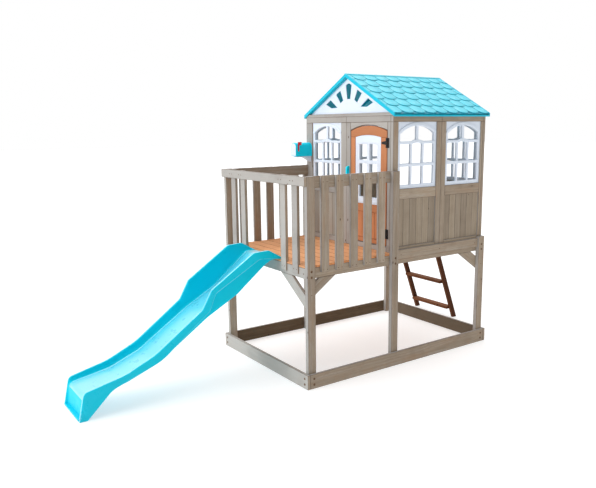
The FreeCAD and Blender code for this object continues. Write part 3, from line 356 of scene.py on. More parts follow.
# One roof moulding in three cyans: the rims carry a deeper cyan, the paler copy on the tiles and ridge
# roll is painted light from above, and the darker copy in the grooves is painted shade.
ROOF_PAINTED_LIGHT = plastic("cyan_roof_painted_light", rgb(92, 212, 230), rgb(70, 204, 226), 0.42, *COARSE, gloss=0.3)
ROOF_PAINTED_SHADE = plastic("cyan_roof_grooves_painted_shade", rgb(8, 150, 176), rgb(4, 134, 160), 0.5, *COARSE)
ROOF_RIM = plastic("cyan_roof_rims", rgb(0, 190, 216), rgb(0, 174, 204), 0.42, *COARSE, gloss=0.3)
MAILBOX = plastic("cyan_mailbox_moulding", rgb(0, 224, 250), rgb(0, 212, 240), 0.34, gloss=0.2)
RED = plastic("red_flag_moulding", rgb(232, 10, 18), rgb(214, 6, 14), 0.36, gloss=0.3)
BLACK = metal("black_hinge_coating", rgb(22, 20, 20), rgb(46, 32, 24), 0.3, 0.45)
STEEL = metal("brown_screw_heads", rgb(112, 88, 68), rgb(76, 52, 36), 0.7, 0.5)


# ---------------------------------------------------------------- building pieces
def place(name, mesh, material, node, smooth=True, stands_in=True):
    """Put a finished mesh into the scene with its material, on the body of the CAD node that it details,
    and hide that node when the mesh stands in for it.
    """
    piece = bpy.data.objects.new(name, mesh)
    bpy.context.scene.collection.objects.link(piece)
    mesh.materials.append(material)
    for polygon in mesh.polygons:
        polygon.use_smooth = smooth
    if smooth:
        mesh.set_sharp_from_angle(angle=math.radians(38))
    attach(piece, BODY_OF[node])
    if stands_in:
        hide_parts(node)
    return piece


def solids(node):
    """The closed solids of a CAD node, each a list of faces given by their corner points."""
    mesh = frame["nodes"][node].data
    found = []
    faces = []
    open_edges = set()
    for polygon in mesh.polygons:
        corners = [tuple(round(c, 6) for c in mesh.vertices[i].co) for i in polygon.vertices]
        faces.append(corners)
        for a, b in zip(corners, corners[1:] + corners[:1]):
            open_edges ^= {frozenset((a, b))}
        if not open_edges:
            found.append(faces)
            faces = []
    return found


ARRIS = 0.0030
SHARP = math.radians(20)             # only edges that turn by more than this are eased
BASE_MIDDLE = (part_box("base_front_beam")[0].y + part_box("base_rear_beam")[1].y) / 2


def welded(faces):
    """One solid as a bmesh with shared corners and flat faces without inner edges."""
    shape = bmesh.new()
    corners = {}
    for face in faces:
        for point in face:
            if point not in corners:
                corners[point] = shape.verts.new(point)
    for face in faces:
        shape.faces.new([corners[point] for point in face])
    shape.normal_update()
    bmesh.ops.dissolve_limit(shape, angle_limit=math.radians(1), verts=shape.verts, edges=shape.edges)
    return shape


def grain_axes(shape):
    """Along, across and through directions of a board, whose longest edge runs with the grain."""
    longest = max(shape.edges, key=lambda edge: edge.calc_length())
    along = (longest.verts[1].co - longest.verts[0].co).normalized()
    widest = max(shape.faces, key=lambda face: face.calc_area())
    through = widest.normal.copy()
    return along, through.cross(along).normalized(), through


def ease(board):
    """Bevel a board's sharp edges, and return the narrow faces that this makes."""
    sharp = [edge for edge in board.edges if edge.calc_face_angle(0) > SHARP]
    bevelled = bmesh.ops.bevel(board, geom=sharp, offset=ARRIS, segments=2, profile=0.5,
                               affect="EDGES", clamp_overlap=True)
    board.normal_update()
    return set(bevelled["faces"])


def timber(node, material):
    """Every board of a node with eased edges, its own grain direction, offset and tone."""
    chance = random.Random(node)
    joined = bmesh.new()
    grain = joined.verts.layers.float_vector.new("grain")
    tone = joined.verts.layers.float.new("tone")
    worn = joined.verts.layers.float.new("worn")
    # each face's share of painted light, by how far it looks forward or up
    painted_light_share = joined.faces.layers.float.new("painted_light_share")
    for faces in solids(node):
        board = welded(faces)
        board.normal_update()
        axes = grain_axes(board)
        offset = Vector((chance.uniform(0, 9), chance.uniform(-0.02, 0.02), chance.uniform(0.03, 0.09)))
        middle = sum((v.co for v in board.verts), Vector()) / len(board.verts)
        arrises = ease(board)
        board_tone = chance.random()
        made = {}
        for vert in board.verts:
            new = joined.verts.new(vert.co)
            inside = vert.co - middle
            new[grain] = Vector([inside.dot(axis) for axis in axes]) + offset
            new[tone] = board_tone
            new[worn] = 1.0 if all(face in arrises for face in vert.link_faces) else 0.35
            made[vert] = new
        for face in board.faces:
            copy = joined.faces.new([made[vert] for vert in face.verts])
            # painted light: faces that look forward or up get more of the pale colour
            copy[painted_light_share] = min(max(-face.normal.y, face.normal.z, 0.0), 1.0)
        board.free()
    mesh = bpy.data.meshes.new(node + "_timber")
    joined.normal_update()
    joined.to_mesh(mesh)
    joined.free()
    return place(node + "_timber", mesh, material, node, smooth=False)


def paint_shade_inside(piece):
    """Painted shade: a darker wood on the faces of a base beam that look inwards, under the deck."""
    piece.data.materials.append(PAINTED_SHADE_WOOD)
    for polygon in piece.data.polygons:
        out = Vector((polygon.center.x, polygon.center.y - BASE_MIDDLE, 0))
        upright = max(abs(polygon.normal.x), abs(polygon.normal.y)) > 0.6
        polygon.material_index = 1 if upright and polygon.normal.dot(out) < 0 else 0


def make_timber():
    """Every timber node, each with the wood of its slot."""
    for node in frame["nodes"]:
        slot = SLOT_OF[node]
        if slot == "grey_timber":
            piece = timber(node, PANEL_WOOD if node.startswith("panel_boards") else GREY_WOOD)
            if node.startswith("base_"):
                # painted shade on the beam's inward faces
                paint_shade_inside(piece)
        elif slot == "cedar_deck":
            timber(node, DECK_WOOD if node == "deck_boards" else DOOR_WOOD)
        elif slot == "cedar_ladder":
            timber(node, LADDER_WOOD)


# ---------------------------------------------------------------- flat mouldings
# Turns from an outline's x and y: onto X and Z with the thickness towards -Y, and onto Y and Z.
FRONTWARD = Matrix(((1, 0, 0), (0, 0, -1), (0, 1, 0))).to_4x4()
SIDEWARD = Matrix(((0, 0, 1), (1, 0, 0), (0, 1, 0))).to_4x4()


def add_sheet(shape, loops, thick, ease, turn, origin):
    """Add a flat moulding with eased edges; its back is the plane through the origin."""
    curve = bpy.data.curves.new("outline", "CURVE")
    curve.dimensions = "2D"
    curve.fill_mode = "BOTH"
    curve.extrude = thick / 2 - ease
    curve.bevel_depth = ease
    curve.bevel_resolution = 2
    curve.offset = -ease
    for loop in loops:
        spline = curve.splines.new("POLY")
        spline.points.add(len(loop) - 1)
        for point, (x, y) in zip(spline.points, loop):
            point.co = (x, y, 0, 1)
        spline.use_cyclic_u = True
    holder = bpy.data.objects.new("outline", curve)
    mesh = bpy.data.meshes.new_from_object(holder)
    mesh.transform(Matrix.Translation(origin) @ turn @ Matrix.Translation((0, 0, thick / 2)))
    shape.from_mesh(mesh)
    bpy.data.objects.remove(holder)
    bpy.data.curves.remove(curve)
    bpy.data.meshes.remove(mesh)


def finished(shape, name):
    """The shape as a mesh, without doubled corners or faces that have no area."""
    bmesh.ops.remove_doubles(shape, verts=shape.verts, dist=1e-6)
    bmesh.ops.dissolve_degenerate(shape, dist=1e-6, edges=shape.edges)
    mesh = bpy.data.meshes.new(name)
    shape.normal_update()
    shape.to_mesh(mesh)
    shape.free()
    return mesh


def rectangle(x_low, y_low, x_high, y_high):
    return [(x_low, y_low), (x_high, y_low), (x_high, y_high), (x_low, y_high)]


def arch(x_from, x_to, half_span, spring, apex, steps=20):
    """Points on a segmental arch about x = 0, from one x to another."""
    rise = apex - spring
    radius = (half_span ** 2 + rise ** 2) / (2 * rise)
    across = [x_from + (x_to - x_from) * i / steps for i in range(steps + 1)]
    return [(x, apex - radius + math.sqrt(radius ** 2 - x ** 2)) for x in across]


# ---------------------------------------------------------------- studs, turned from rings
SCREW_RINGS = ((0.0040, 0.0), (0.0040, 0.0006), (0.0034, 0.0012), (0.0014, 0.0013), (0.0008, 0.0005))
BOLT_RINGS = ((0.0098, 0.0), (0.0098, 0.0010), (0.0090, 0.0014), (0.0078, 0.0014), (0.0076, 0.0024),
              (0.0064, 0.0033), (0.0034, 0.0037), (0.0012, 0.0039))
RIVET_RINGS = ((0.0026, 0), (0.0023, 0.0008), (0.0010, 0.0012))


def add_stud(shape, seat, out, rings, steps=14):
    """A round head standing on a surface, from (radius, height) rings."""
    side = out.orthogonal().normalized()
    other = out.cross(side)
    angles = [2 * math.pi * i / steps for i in range(steps)]
    spokes = [side * math.cos(a) + other * math.sin(a) for a in angles]
    loops = [[shape.verts.new(seat + out * height + spoke * radius) for spoke in spokes]
             for radius, height in rings]
    shape.faces.new(list(reversed(loops[0])))
    for lower, upper in zip(loops, loops[1:]):
        for i in range(steps):
            j = (i + 1) % steps
            shape.faces.new([lower[i], lower[j], upper[j], upper[i]])
    shape.faces.new(loops[-1])


def make_fasteners():
    """A turned head on the seat of each CAD bolt head and screw head."""
    for node, rings in (("bolt_heads", BOLT_RINGS), ("screw_heads", SCREW_RINGS)):
        shape = bmesh.new()
        for faces in solids(node):
            points = [Vector(p) for face in faces for p in face]
            low = Vector([min(p[i] for p in points) for i in range(3)])
            high = Vector([max(p[i] for p in points) for i in range(3)])
            size = high - low
            axis = min(range(3), key=lambda i: size[i])
            out = Vector((0, 0, 0))
            out[axis] = 1 if low[axis] + high[axis] > 0 else -1
            seat = (low + high) / 2 - out * size[axis] / 2
            add_stud(shape, seat, out, rings)
        place(node + "_turned", finished(shape, node), STEEL, node)


# ---------------------------------------------------------------- windows
WINDOW_HALF, WINDOW_TALL, WINDOW_THICK = 0.222, 0.550, 0.020
WINDOW_CLEAR = 0.192                                         # half of the opening's width
BAR = 0.022                                                  # width of an upright bar
PANE = (2 * WINDOW_CLEAR - 2 * BAR) / 3
PANE_ROWS = ((0.032, 0.183), (0.209, 0.367))
PANE_RISE = 0.010                                            # the upper middle pane's arched top
HEAD_FOOT, HEAD_SPRING, HEAD_APEX = 0.391, 0.453, 0.518      # the arched opening over the panes
MULLION_HALF = 0.013
BAND_HALF, BAND_SPRING, BAND_APEX = 0.214, 0.470, 0.545      # the outer edge of the raised band
CAD_BAND_PROUD = 0.009
CROSS_HALF = 0.207                                           # reach of the cross bars and screws
LOWER_CROSS, UPPER_CROSS = (0.184, 0.208), (0.368, 0.390)
HUMP_HALF, HUMP_TOP, HUMP_UNDER = PANE / 2 + 0.012, 0.404, 0.378
WINDOW_SCREWS = (0.520, 0.110, 0.290)                        # their heights
SHEET_EASE = 0.0026
ROOT = 0.003                                # how far a raised detail reaches into what it stands on


def window_loops():
    """Outline, six panes and the two halves of the arched opening."""
    loops = [rectangle(-WINDOW_HALF, 0, WINDOW_HALF, WINDOW_TALL)]
    for row, (low, high) in enumerate(PANE_ROWS):
        for column, x in enumerate((-WINDOW_CLEAR, -PANE / 2, WINDOW_CLEAR - PANE)):
            if (row, column) == (1, 1):
                loops.append([(-PANE / 2, low), (PANE / 2, low)]
                             + arch(PANE / 2, -PANE / 2, PANE / 2, high, high + PANE_RISE, 10))
            else:
                loops.append(rectangle(x, low, x + PANE, high))
    head = arch(WINDOW_CLEAR, MULLION_HALF, WINDOW_CLEAR, HEAD_SPRING, HEAD_APEX, 14)
    foot = [(MULLION_HALF, HUMP_TOP), (PANE / 2, HEAD_FOOT), (WINDOW_CLEAR, HEAD_FOOT)]
    for sign in (-1, 1):
        loops.append([(sign * x, y) for x, y in head + foot])
    return loops


def window_details():
    """The raised arched band and the two cross bars, and how far each stands out of the grille."""
    band = arch(-WINDOW_CLEAR, WINDOW_CLEAR, WINDOW_CLEAR, HEAD_SPRING, HEAD_APEX)
    band += [(BAND_HALF, HEAD_SPRING)] + arch(BAND_HALF, -BAND_HALF, BAND_HALF, BAND_SPRING, BAND_APEX)
    band += [(-BAND_HALF, HEAD_SPRING)]
    foot, top = UPPER_CROSS
    upper = [(-CROSS_HALF, foot)] + arch(-PANE / 2, PANE / 2, PANE / 2, foot, HUMP_UNDER, 10)
    upper += [(CROSS_HALF, foot), (CROSS_HALF, top)]
    upper += arch(HUMP_HALF, -HUMP_HALF, HUMP_HALF, top, HUMP_TOP, 10) + [(-CROSS_HALF, top)]
    lower = rectangle(-CROSS_HALF, LOWER_CROSS[0], CROSS_HALF, LOWER_CROSS[1])
    return ((band, 0.0070), (upper, 0.0055), (lower, 0.0055))


def make_window(node, right, out):
    """One window: the grille itself, its raised details and six small fixing screws."""
    low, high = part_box(node)
    middle = (low + high) / 2
    face = max(low.dot(out), high.dot(out)) - CAD_BAND_PROUD
    foot = middle + out * (face - middle.dot(out)) + Vector((0, 0, low.z - middle.z))
    turn = Matrix((right, Vector((0, 0, 1)), out)).transposed().to_4x4()
    shape = bmesh.new()
    add_sheet(shape, window_loops(), WINDOW_THICK, SHEET_EASE, turn, foot - out * WINDOW_THICK)
    for outline, proud in window_details():
        add_sheet(shape, [outline], proud + ROOT, 0.0018, turn, foot - out * ROOT)
    for y in WINDOW_SCREWS:
        for x in (-CROSS_HALF, CROSS_HALF):
            add_stud(shape, foot + right * x + Vector((0, 0, y)), out, SCREW_RINGS)
    place(node + "_moulding", finished(shape, node), WHITE, node)


def make_windows():
    """The six windows, each facing out of its own wall."""
    ahead, aside = Vector((0, 1, 0)), Vector((1, 0, 0))
    make_window("window_front", aside, -ahead)
    make_window("window_rear", -aside, ahead)
    for row in ("front", "rear"):
        make_window("window_right_" + row, ahead, aside)
        make_window("window_left_" + row, -ahead, -aside)


# ---------------------------------------------------------------- door light
LIGHT_PANES = ((-0.116, -0.017), (0.017, 0.116))
LIGHT_ROWS = ((0.059, 0.187), (0.217, 0.345))
LIGHT_HEAD_FOOT, LIGHT_HEAD_SPRING, LIGHT_HEAD_APEX, LIGHT_HEAD_HALF = 0.375, 0.497, 0.513, 0.16
LIGHT_RISE = 0.018
LINE_OUTER, LINE_INNER = 0.158, 0.142                        # half widths of the raised frame line
LIGHT_PROUD = 0.0035
LIGHT_SCREWS = (0.515, 0.280, 0.050)                         # their heights
LIGHT_SCREWS_HALF = 0.150


def make_door_light():
    """The arched window of the door, with a raised frame line, an arched moulding and screws."""
    low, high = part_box("door_light")
    middle, half = (low.x + high.x) / 2, (high.x - low.x) / 2
    foot = Vector((middle, low.y, low.z))
    tall, thick = high.z - low.z, high.y - low.y
    loops = [[(-half, 0), (half, 0)] + arch(half, -half, half, tall - LIGHT_RISE, tall)]
    for left, right in LIGHT_PANES:
        for bottom, top in LIGHT_ROWS:
            loops.append(rectangle(left, bottom, right, top))
        loops.append([(left, LIGHT_HEAD_FOOT), (right, LIGHT_HEAD_FOOT)]
                     + arch(right, left, LIGHT_HEAD_HALF, LIGHT_HEAD_SPRING, LIGHT_HEAD_APEX, 6))
    shape = bmesh.new()
    add_sheet(shape, loops, thick, SHEET_EASE, FRONTWARD, foot + Vector((0, thick, 0)))
    outer_top = arch(LINE_OUTER, -LINE_OUTER, LINE_OUTER, 0.509, 0.528)
    inner_top = arch(LINE_INNER, -LINE_INNER, LINE_INNER, 0.500, 0.517)
    moulding = (arch(-LINE_OUTER, LINE_OUTER, LINE_OUTER, 0.509, 0.528)
                + arch(LINE_OUTER, -LINE_OUTER, LINE_OUTER, 0.527, 0.546))
    line = [[(-LINE_OUTER, 0.012), (LINE_OUTER, 0.012)] + outer_top,
            [(-LINE_INNER, 0.030), (LINE_INNER, 0.030)] + inner_top]
    for outlines, height in (([moulding], LIGHT_PROUD), (line, LIGHT_PROUD * 0.6)):
        add_sheet(shape, outlines, height + ROOT, 0.0014, FRONTWARD, foot + Vector((0, ROOT, 0)))
    for z in LIGHT_SCREWS:
        for x in (-LIGHT_SCREWS_HALF, LIGHT_SCREWS_HALF):
            add_stud(shape, foot + Vector((x, 0, z)), Vector((0, -1, 0)), SCREW_RINGS)
    place("door_light_moulding", finished(shape, "door_light"), WHITE, "door_light")


# ---------------------------------------------------------------- gables
ROOF_SLOPE = 0.545
# The two rays to the right of the middle one, by their corners.
RAYS = (((0.121, 0.208), (0.184, 0.174), (0.117, 0.093), (0.077, 0.117)),
        ((0.268, 0.130), (0.336, 0.091), (0.252, 0.053), (0.160, 0.056)))
RAY_FOOT, RAY_FOOT_HALF = 0.127, 0.022
RAY_TOP, RAY_TOP_HALF, RAY_CROWN = 0.240, 0.040, 0.020
BORDER_FOOT, BORDER_APEX, BORDER_PROUD = 0.047, 0.268, 0.002


def make_gables():
    """The triangular panels: five rays cut through, inside a raised triangular border."""
    for node in ("gable_front", "gable_rear"):
        low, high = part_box(node)
        half, tall = high.x, high.z - low.z
        angles = [math.pi * i / 8 for i in range(9)]
        crown = [(RAY_TOP_HALF * math.cos(a), RAY_TOP + RAY_CROWN * math.sin(a)) for a in angles]
        loops = [[(-half, 0), (half, 0), (0, tall)],
                 [(-RAY_FOOT_HALF, RAY_FOOT), (RAY_FOOT_HALF, RAY_FOOT)] + crown]
        for ray in RAYS:
            loops.append(list(ray))
            loops.append([(-x, y) for x, y in reversed(ray)])
        shape = bmesh.new()
        add_sheet(shape, loops, high.y - low.y, 0.0012, FRONTWARD, Vector((0, high.y, low.z)))
        inner_half = (BORDER_APEX - BORDER_FOOT) / ROOF_SLOPE
        border = [[(-half + 0.004, 0.001), (half - 0.004, 0.001), (0, tall - 0.002)],
                  [(-inner_half, BORDER_FOOT), (inner_half, BORDER_FOOT), (0, BORDER_APEX)]]
        back = (low.y if node == "gable_front" else high.y) + BORDER_PROUD
        add_sheet(shape, border, 2 * BORDER_PROUD, 0.0012, FRONTWARD, Vector((0, back, low.z)))
        place(node + "_moulding", finished(shape, node), WHITE, node)


# ---------------------------------------------------------------- roof
TILE_WIDE, TILE_TALL, TILE_ROWS, TILE_ARC = 0.132, 0.176, 6, 0.050
TILES_IN_ROW, ROW_STARTS = 10, (-0.020, 0.046)               # every other row is shifted
TILE_GAP = 0.0024
TILE_LEAST, TILE_TILT = 0.0012, 0.0078                       # height at the head, and what the foot adds
TILE_EDGE = ((0.0, 1.0), (0.0, 0.24), (0.0007, 0.08), (0.0020, 0.0))      # (inward, share of height lost)
RIM = 0.012
SKIN, FLANGE, END_RIM, RIB = (-0.0058, -0.014), (-0.007, -0.030), (0.0035, -0.030), (-0.010, -0.030)


def tile_outline(centre, foot, clip):
    """A fish scale: straight sides, a round foot, and cut off where the end rims begin."""
    half = TILE_WIDE / 2 - TILE_GAP
    top = max(foot - TILE_TALL, 0.004)
    outline = [(centre - half, top), (centre - half, foot - TILE_ARC)]
    for i in range(1, 16):
        angle = math.pi * i / 16
        outline.append((centre - half * math.cos(angle), foot - TILE_ARC * (1 - math.sin(angle) ** 0.9)))
    outline += [(centre + half, foot - TILE_ARC), (centre + half, top)]
    kept = []
    for u, v in outline:
        point = (min(max(u, clip[0]), clip[1]), v)
        if not kept or math.dist(point, kept[-1]) > 1e-5:
            kept.append(point)
    return kept


def add_tile(shape, centre, foot, surface, clip):
    """One tile, tilted so that its rounded foot covers the top of the next row."""
    outline = tile_outline(centre, foot, clip)
    if max(u for u, _ in outline) - min(u for u, _ in outline) < 0.006:
        return
    middle_u = sum(u for u, _ in outline) / len(outline)
    middle_v = sum(v for _, v in outline) / len(outline)
    rings = []
    for inward, drop in TILE_EDGE:
        ring = []
        for u, v in outline:
            reach = math.hypot(u - middle_u, v - middle_v)
            scale = 1 - inward / reach
            at_u = middle_u + (u - middle_u) * scale
            at_v = middle_v + (v - middle_v) * scale
            height = TILE_LEAST + TILE_TILT * (v - foot + TILE_TALL) / TILE_TALL
            ring.append(shape.verts.new(surface(at_u, at_v, height * (1 - drop))))
        rings.append(ring)
    for level, (lower, upper) in enumerate(zip(rings, rings[1:])):
        for i in range(len(outline)):
            j = (i + 1) % len(outline)
            wall = shape.faces.new([lower[i], lower[j], upper[j], upper[i]])
            # painted shade: the lower sides of each tile take the darker groove cyan
            wall.material_index = 1 if level < 2 else 0
    shape.faces.new(list(reversed(rings[0])))
    shape.faces.new(rings[-1])


def add_roof_shell(shape, sign, low, high):
    """A roof panel under its tiles: skin, eave flange, ridge flange, end rims and three ribs."""
    half, peak = max(abs(low.x), abs(high.x)), high.z
    front, rear = low.y, high.y

    def strip(x_from, x_to, heights):
        top, bottom = heights
        points = [(x_from, peak - x_from * ROOF_SLOPE + top), (x_to, peak - x_to * ROOF_SLOPE + top),
                  (x_to, peak - x_to * ROOF_SLOPE + bottom), (x_from, peak - x_from * ROOF_SLOPE + bottom)]
        return [[(sign * x, z) for x, z in points]]

    spans = [(strip(0, half - 0.001, SKIN), front + 0.002, rear - 0.002, 0.0012),
             (strip(half - 0.016, half - 0.001, FLANGE), front + 0.004, rear - 0.004, 0.003),
             (strip(0.0, 0.014, FLANGE), front + 0.004, rear - 0.004, 0.002),
             (strip(0, half, END_RIM), front, front + RIM, 0.0045),
             (strip(0, half, END_RIM), rear - RIM, rear, 0.0045)]
    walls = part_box("wall_front_frame"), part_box("wall_rear_frame")
    ribs = [(wall_low.y, wall_high.y) for wall_low, wall_high in walls]
    middle = (ribs[0][1] + ribs[1][0]) / 2
    ribs.append((middle - 0.014, middle + 0.014))
    for rib_low, rib_high in ribs:
        spans.append((strip(0.010, half - 0.012, RIB), rib_low, rib_high, 0.001))
    for outline, y_low, y_high, eased in spans:
        add_sheet(shape, outline, y_high - y_low, eased, FRONTWARD, Vector((0, y_high, 0)))


def make_roof():
    """Both roof panels: the shell, and six rows of tiles laid on its slope."""
    for side, sign in SIDES:
        node = "roof_" + side
        low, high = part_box(node)
        long = max(abs(low.x), abs(high.x)) * math.hypot(1, ROOF_SLOPE)
        front, rear = low.y, high.y
        ridge = Vector((0, front, high.z))
        normal = Vector((sign * ROOF_SLOPE, 0, 1)).normalized()
        down = Vector((sign, 0, -ROOF_SLOPE)).normalized()

        def surface(u, v, height):
            return ridge + Vector((0, u, 0)) + down * v + normal * (height - 0.005)

        shape = bmesh.new()
        add_roof_shell(shape, sign, low, high)
        # painted shade on the upward faces between the end rims, which show between the tiles; the rims
        # and flanges take the rims' cyan
        for face in shape.faces:
            inside = front + RIM + 0.001 < face.calc_center_median().y < rear - RIM - 0.001
            face.material_index = 1 if inside and face.normal.dot(normal) > 0.9 else 2
        clip = (RIM - 0.001, rear - front - RIM + 0.001)
        for row in range(TILE_ROWS):
            foot = long * (row + 1) / TILE_ROWS
            for i in range(TILES_IN_ROW):
                add_tile(shape, ROW_STARTS[row % 2] + i * TILE_WIDE, foot, surface, clip)
        bmesh.ops.recalc_face_normals(shape, faces=shape.faces)
        piece = place(node + "_tiles", finished(shape, node), ROOF_PAINTED_LIGHT, node)
        for material in (ROOF_PAINTED_SHADE, ROOF_RIM):
            piece.data.materials.append(material)


def make_ridge_roll():
    """The rounded roll that closes the ridge."""
    low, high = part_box("roof_ridge_cap")
    half, top = high.x, high.z
    section = [(half, low.z + 0.0005), (half * 0.92, low.z + 0.005), (half * 0.5, top - 0.0025), (0, top),
               (-half * 0.5, top - 0.0025), (-half * 0.92, low.z + 0.005), (-half, low.z + 0.0005),
               (0, top - 0.012)]
    shape = bmesh.new()
    add_sheet(shape, [section], high.y - low.y, 0.001, FRONTWARD, Vector((0, high.y, 0)))
    place("roof_ridge_roll", finished(shape, "roof_ridge_roll"), ROOF_PAINTED_LIGHT, "roof_ridge_cap")


# ---------------------------------------------------------------- slide
# Each corner: distance in front of the posts, height, and the radius that rounds it.
WALL_TOP = ((-0.045, 0.975, 0), (0.080, 1.048, 0.060), (0.215, 1.042, 0.060), (0.590, 0.796, 0.040),
            (0.672, 0.650, 0.060), (1.060, 0.375, 0.500), (1.290, 0.272, 0.500), (1.590, 0.205, 0.045),
            (1.634, 0.0, 0))
BED_TOP = ((-0.045, 0.973, 0), (0.050, 0.973, 0.060), (0.365, 0.722, 0.150), (0.640, 0.572, 0.200),
           (1.050, 0.305, 0.300), (1.290, 0.212, 0.300), (1.595, 0.165, 0.045), (1.604, 0.0, 0))
LIP_LOW = ((-0.045, 0.965, 0), (0.165, 0.985, 0.060), (0.560, 0.762, 0.050), (0.612, 0.632, 0.070),
           (0.800, 0.488, 0), (1.010, 0.322, 0.400), (1.390, 0.182, 0.180), (1.575, 0.0, 0),
           (1.634, 0.0, 0))
BED_LOW = ((-0.045, 0.9655, 0), (0.044, 0.9655, 0.060), (0.359, 0.714, 0.150), (0.634, 0.564, 0.200),
           (1.044, 0.297, 0.300), (1.284, 0.204, 0.300), (1.589, 0.157, 0.045), (1.598, 0.0, 0))


def rounded_line(corners, steps=14):
    """An open line through corners, each with its own fillet, as closely spaced points."""
    points = [Vector(corners[0][:2])]
    for before, (x, y, radius), after in zip(corners, corners[1:], corners[2:]):
        here = Vector((x, y))
        back = (Vector(before[:2]) - here).normalized()
        on = (Vector(after[:2]) - here).normalized()
        half = back.angle(on) / 2
        if radius == 0 or half > math.radians(89.5):
            points.append(here)
            continue
        reach = radius / math.tan(half)
        centre = here + (back + on).normalized() * (radius / math.sin(half))
        start, end = here + back * reach - centre, here + on * reach - centre
        turn = start.angle_signed(end)
        for i in range(steps + 1):
            angle = -turn * i / steps
            points.append(centre + Vector((start.x * math.cos(angle) - start.y * math.sin(angle),
                                           start.x * math.sin(angle) + start.y * math.cos(angle))))
    points.append(Vector(corners[-1][:2]))
    return points


def point_at(points, out):
    """Where a line is at a distance in front of the posts."""
    for a, b in zip(points, points[1:]):
        if a.x <= out <= b.x:
            return a.lerp(b, (out - a.x) / max(b.x - a.x, 1e-9))
    return points[-1]


def beyond(points, out):
    """The part of a line from a distance in front of the posts to its end."""
    return [point_at(points, out)] + [p for p in points if p.x > out]


def point_by_length(points, share):
    """The point at a share of a line's length."""
    lengths = [(b - a).length for a, b in zip(points, points[1:])]
    left = share * sum(lengths)
    for a, b, length in zip(points, points[1:], lengths):
        if left <= length:
            return a.lerp(b, left / length if length else 0)
        left -= length
    return points[-1]


SLIDE_FROM, STATION, STATION_COUNT = -0.045, 0.0125, 124
WAVE_STATIONS = {0.5725, 0.61, 0.6475, 0.685}      # more of them where the walls' tops drop
TOE_START, TOE_STEPS = 1.500, 40                   # from here stations follow length, not distance
TOE_OUT, TOE_BACK, TOE_HIGH, TOE_WIDE = 1.634, 1.602, 0.012, 0.344
# Strips of the cross-section by number, from the middle of the bed over the wall to below the bed.
SHINY_STRIPS = (0, 1, 2, 3, 4, 10, 11, 12, 17)     # the bed, the walls' crests and the lip's edge
INNER_STRIPS = (5, 6, 7, 8, 9)
UNDER_STRIPS = range(21, 29)
TOE_GRIP_TOP = 0.145


def slide_stations():
    """Wall top, bed, lip and underside points at each station from the deck to the toe."""
    lines = [rounded_line(corners) for corners in (WALL_TOP, BED_TOP, LIP_LOW, BED_LOW)]
    even = {round(SLIDE_FROM + STATION * i, 4) for i in range(STATION_COUNT)}
    stations = [[point_at(line, out) for line in lines]
                for out in sorted(even | WAVE_STATIONS) if out < TOE_START]
    toes = [beyond(line, TOE_START) for line in lines]
    for i in range(TOE_STEPS + 1):
        stations.append([point_by_length(toe, i / TOE_STEPS) for toe in toes])
    return stations


def slide_section(wall_top, bed, lip, under):
    """Half of a cross-section: bed, fillet, wall, rolled crest, outer side, lip and underside."""
    rise = max(wall_top.y - bed.y, 0.002)
    fillet = min(rise * 0.45, 0.030)
    roll = min(rise * 0.3, 0.013)
    drop = max(wall_top.y - lip.y, 0.001)
    outer = min(drop * 0.4, 0.013)
    bed_to_wall = wall_top - bed
    points = [(0, bed), (0.060, bed), (0.120, bed), (0.165, bed)]
    for x, share in ((0.180, 0.05), (0.192, 0.22), (0.200, 0.52), (0.2045, 1.0)):
        points.append((x, bed + Vector((bed_to_wall.x * fillet / rise * share, fillet * share))))
    for x, part in ((0.2075, 1.0), (0.2100, 0.42), (0.2145, 0.10), (0.2200, 0.0), (0.2255, 0.0),
                    (0.2305, 0.12), (0.2340, 0.45)):
        fall = (roll if x < 0.2200 else outer) * part
        points.append((x, wall_top - Vector((bed_to_wall.x * fall / rise, fall))))
    points.append((0.2350, wall_top.lerp(lip, outer / drop)))
    points.append((0.2350, wall_top.lerp(lip, max(1 - 0.008 / drop, outer / drop))))
    lip_inside = lip + Vector((0, 0.0015 if lip.y > 0.002 else 0))
    points += [(0.2362, wall_top.lerp(lip, max(1 - 0.005 / drop, outer / drop))), (0.2362, lip),
               (0.2335, lip), (0.2190, lip), (0.2170, lip_inside)]
    round_under = min(0.040, max(0.7 * (lip.y - under.y), 0.003)) if under.y > 0.004 else 0
    for angle in (math.radians(18 * i) for i in range(6)):
        points.append((0.2170 - round_under * (1 - math.cos(angle)),
                       under + Vector((0, round_under * (1 - math.sin(angle))))))
    return points + [(0.120, under), (0, under)]


def taper(out):
    """The slide's width at a distance in front of the posts, as a share of its width at the deck."""
    return 1 - 0.149 * (out + 0.050) / 1.684


def slide_finish(strip, bed):
    """The material number for a strip of the cross-section, given where the bed's middle is."""
    if strip in SHINY_STRIPS:
        return 4 if strip < 5 and bed.z < TOE_GRIP_TOP else 1
    if strip in INNER_STRIPS:
        return 2
    return 3 if strip in UNDER_STRIPS else 0


def close_end(shape, row, last):
    """Faces across one end of the loft, which join its upper line to its lower one."""
    count = len(row)
    for i in range(last // 2):
        shape.faces.new([row[i], row[i + 1], row[last - i - 1], row[last - i]])
        shape.faces.new([row[-i % count], row[-i - 1], row[last + i + 1], row[last + i]])


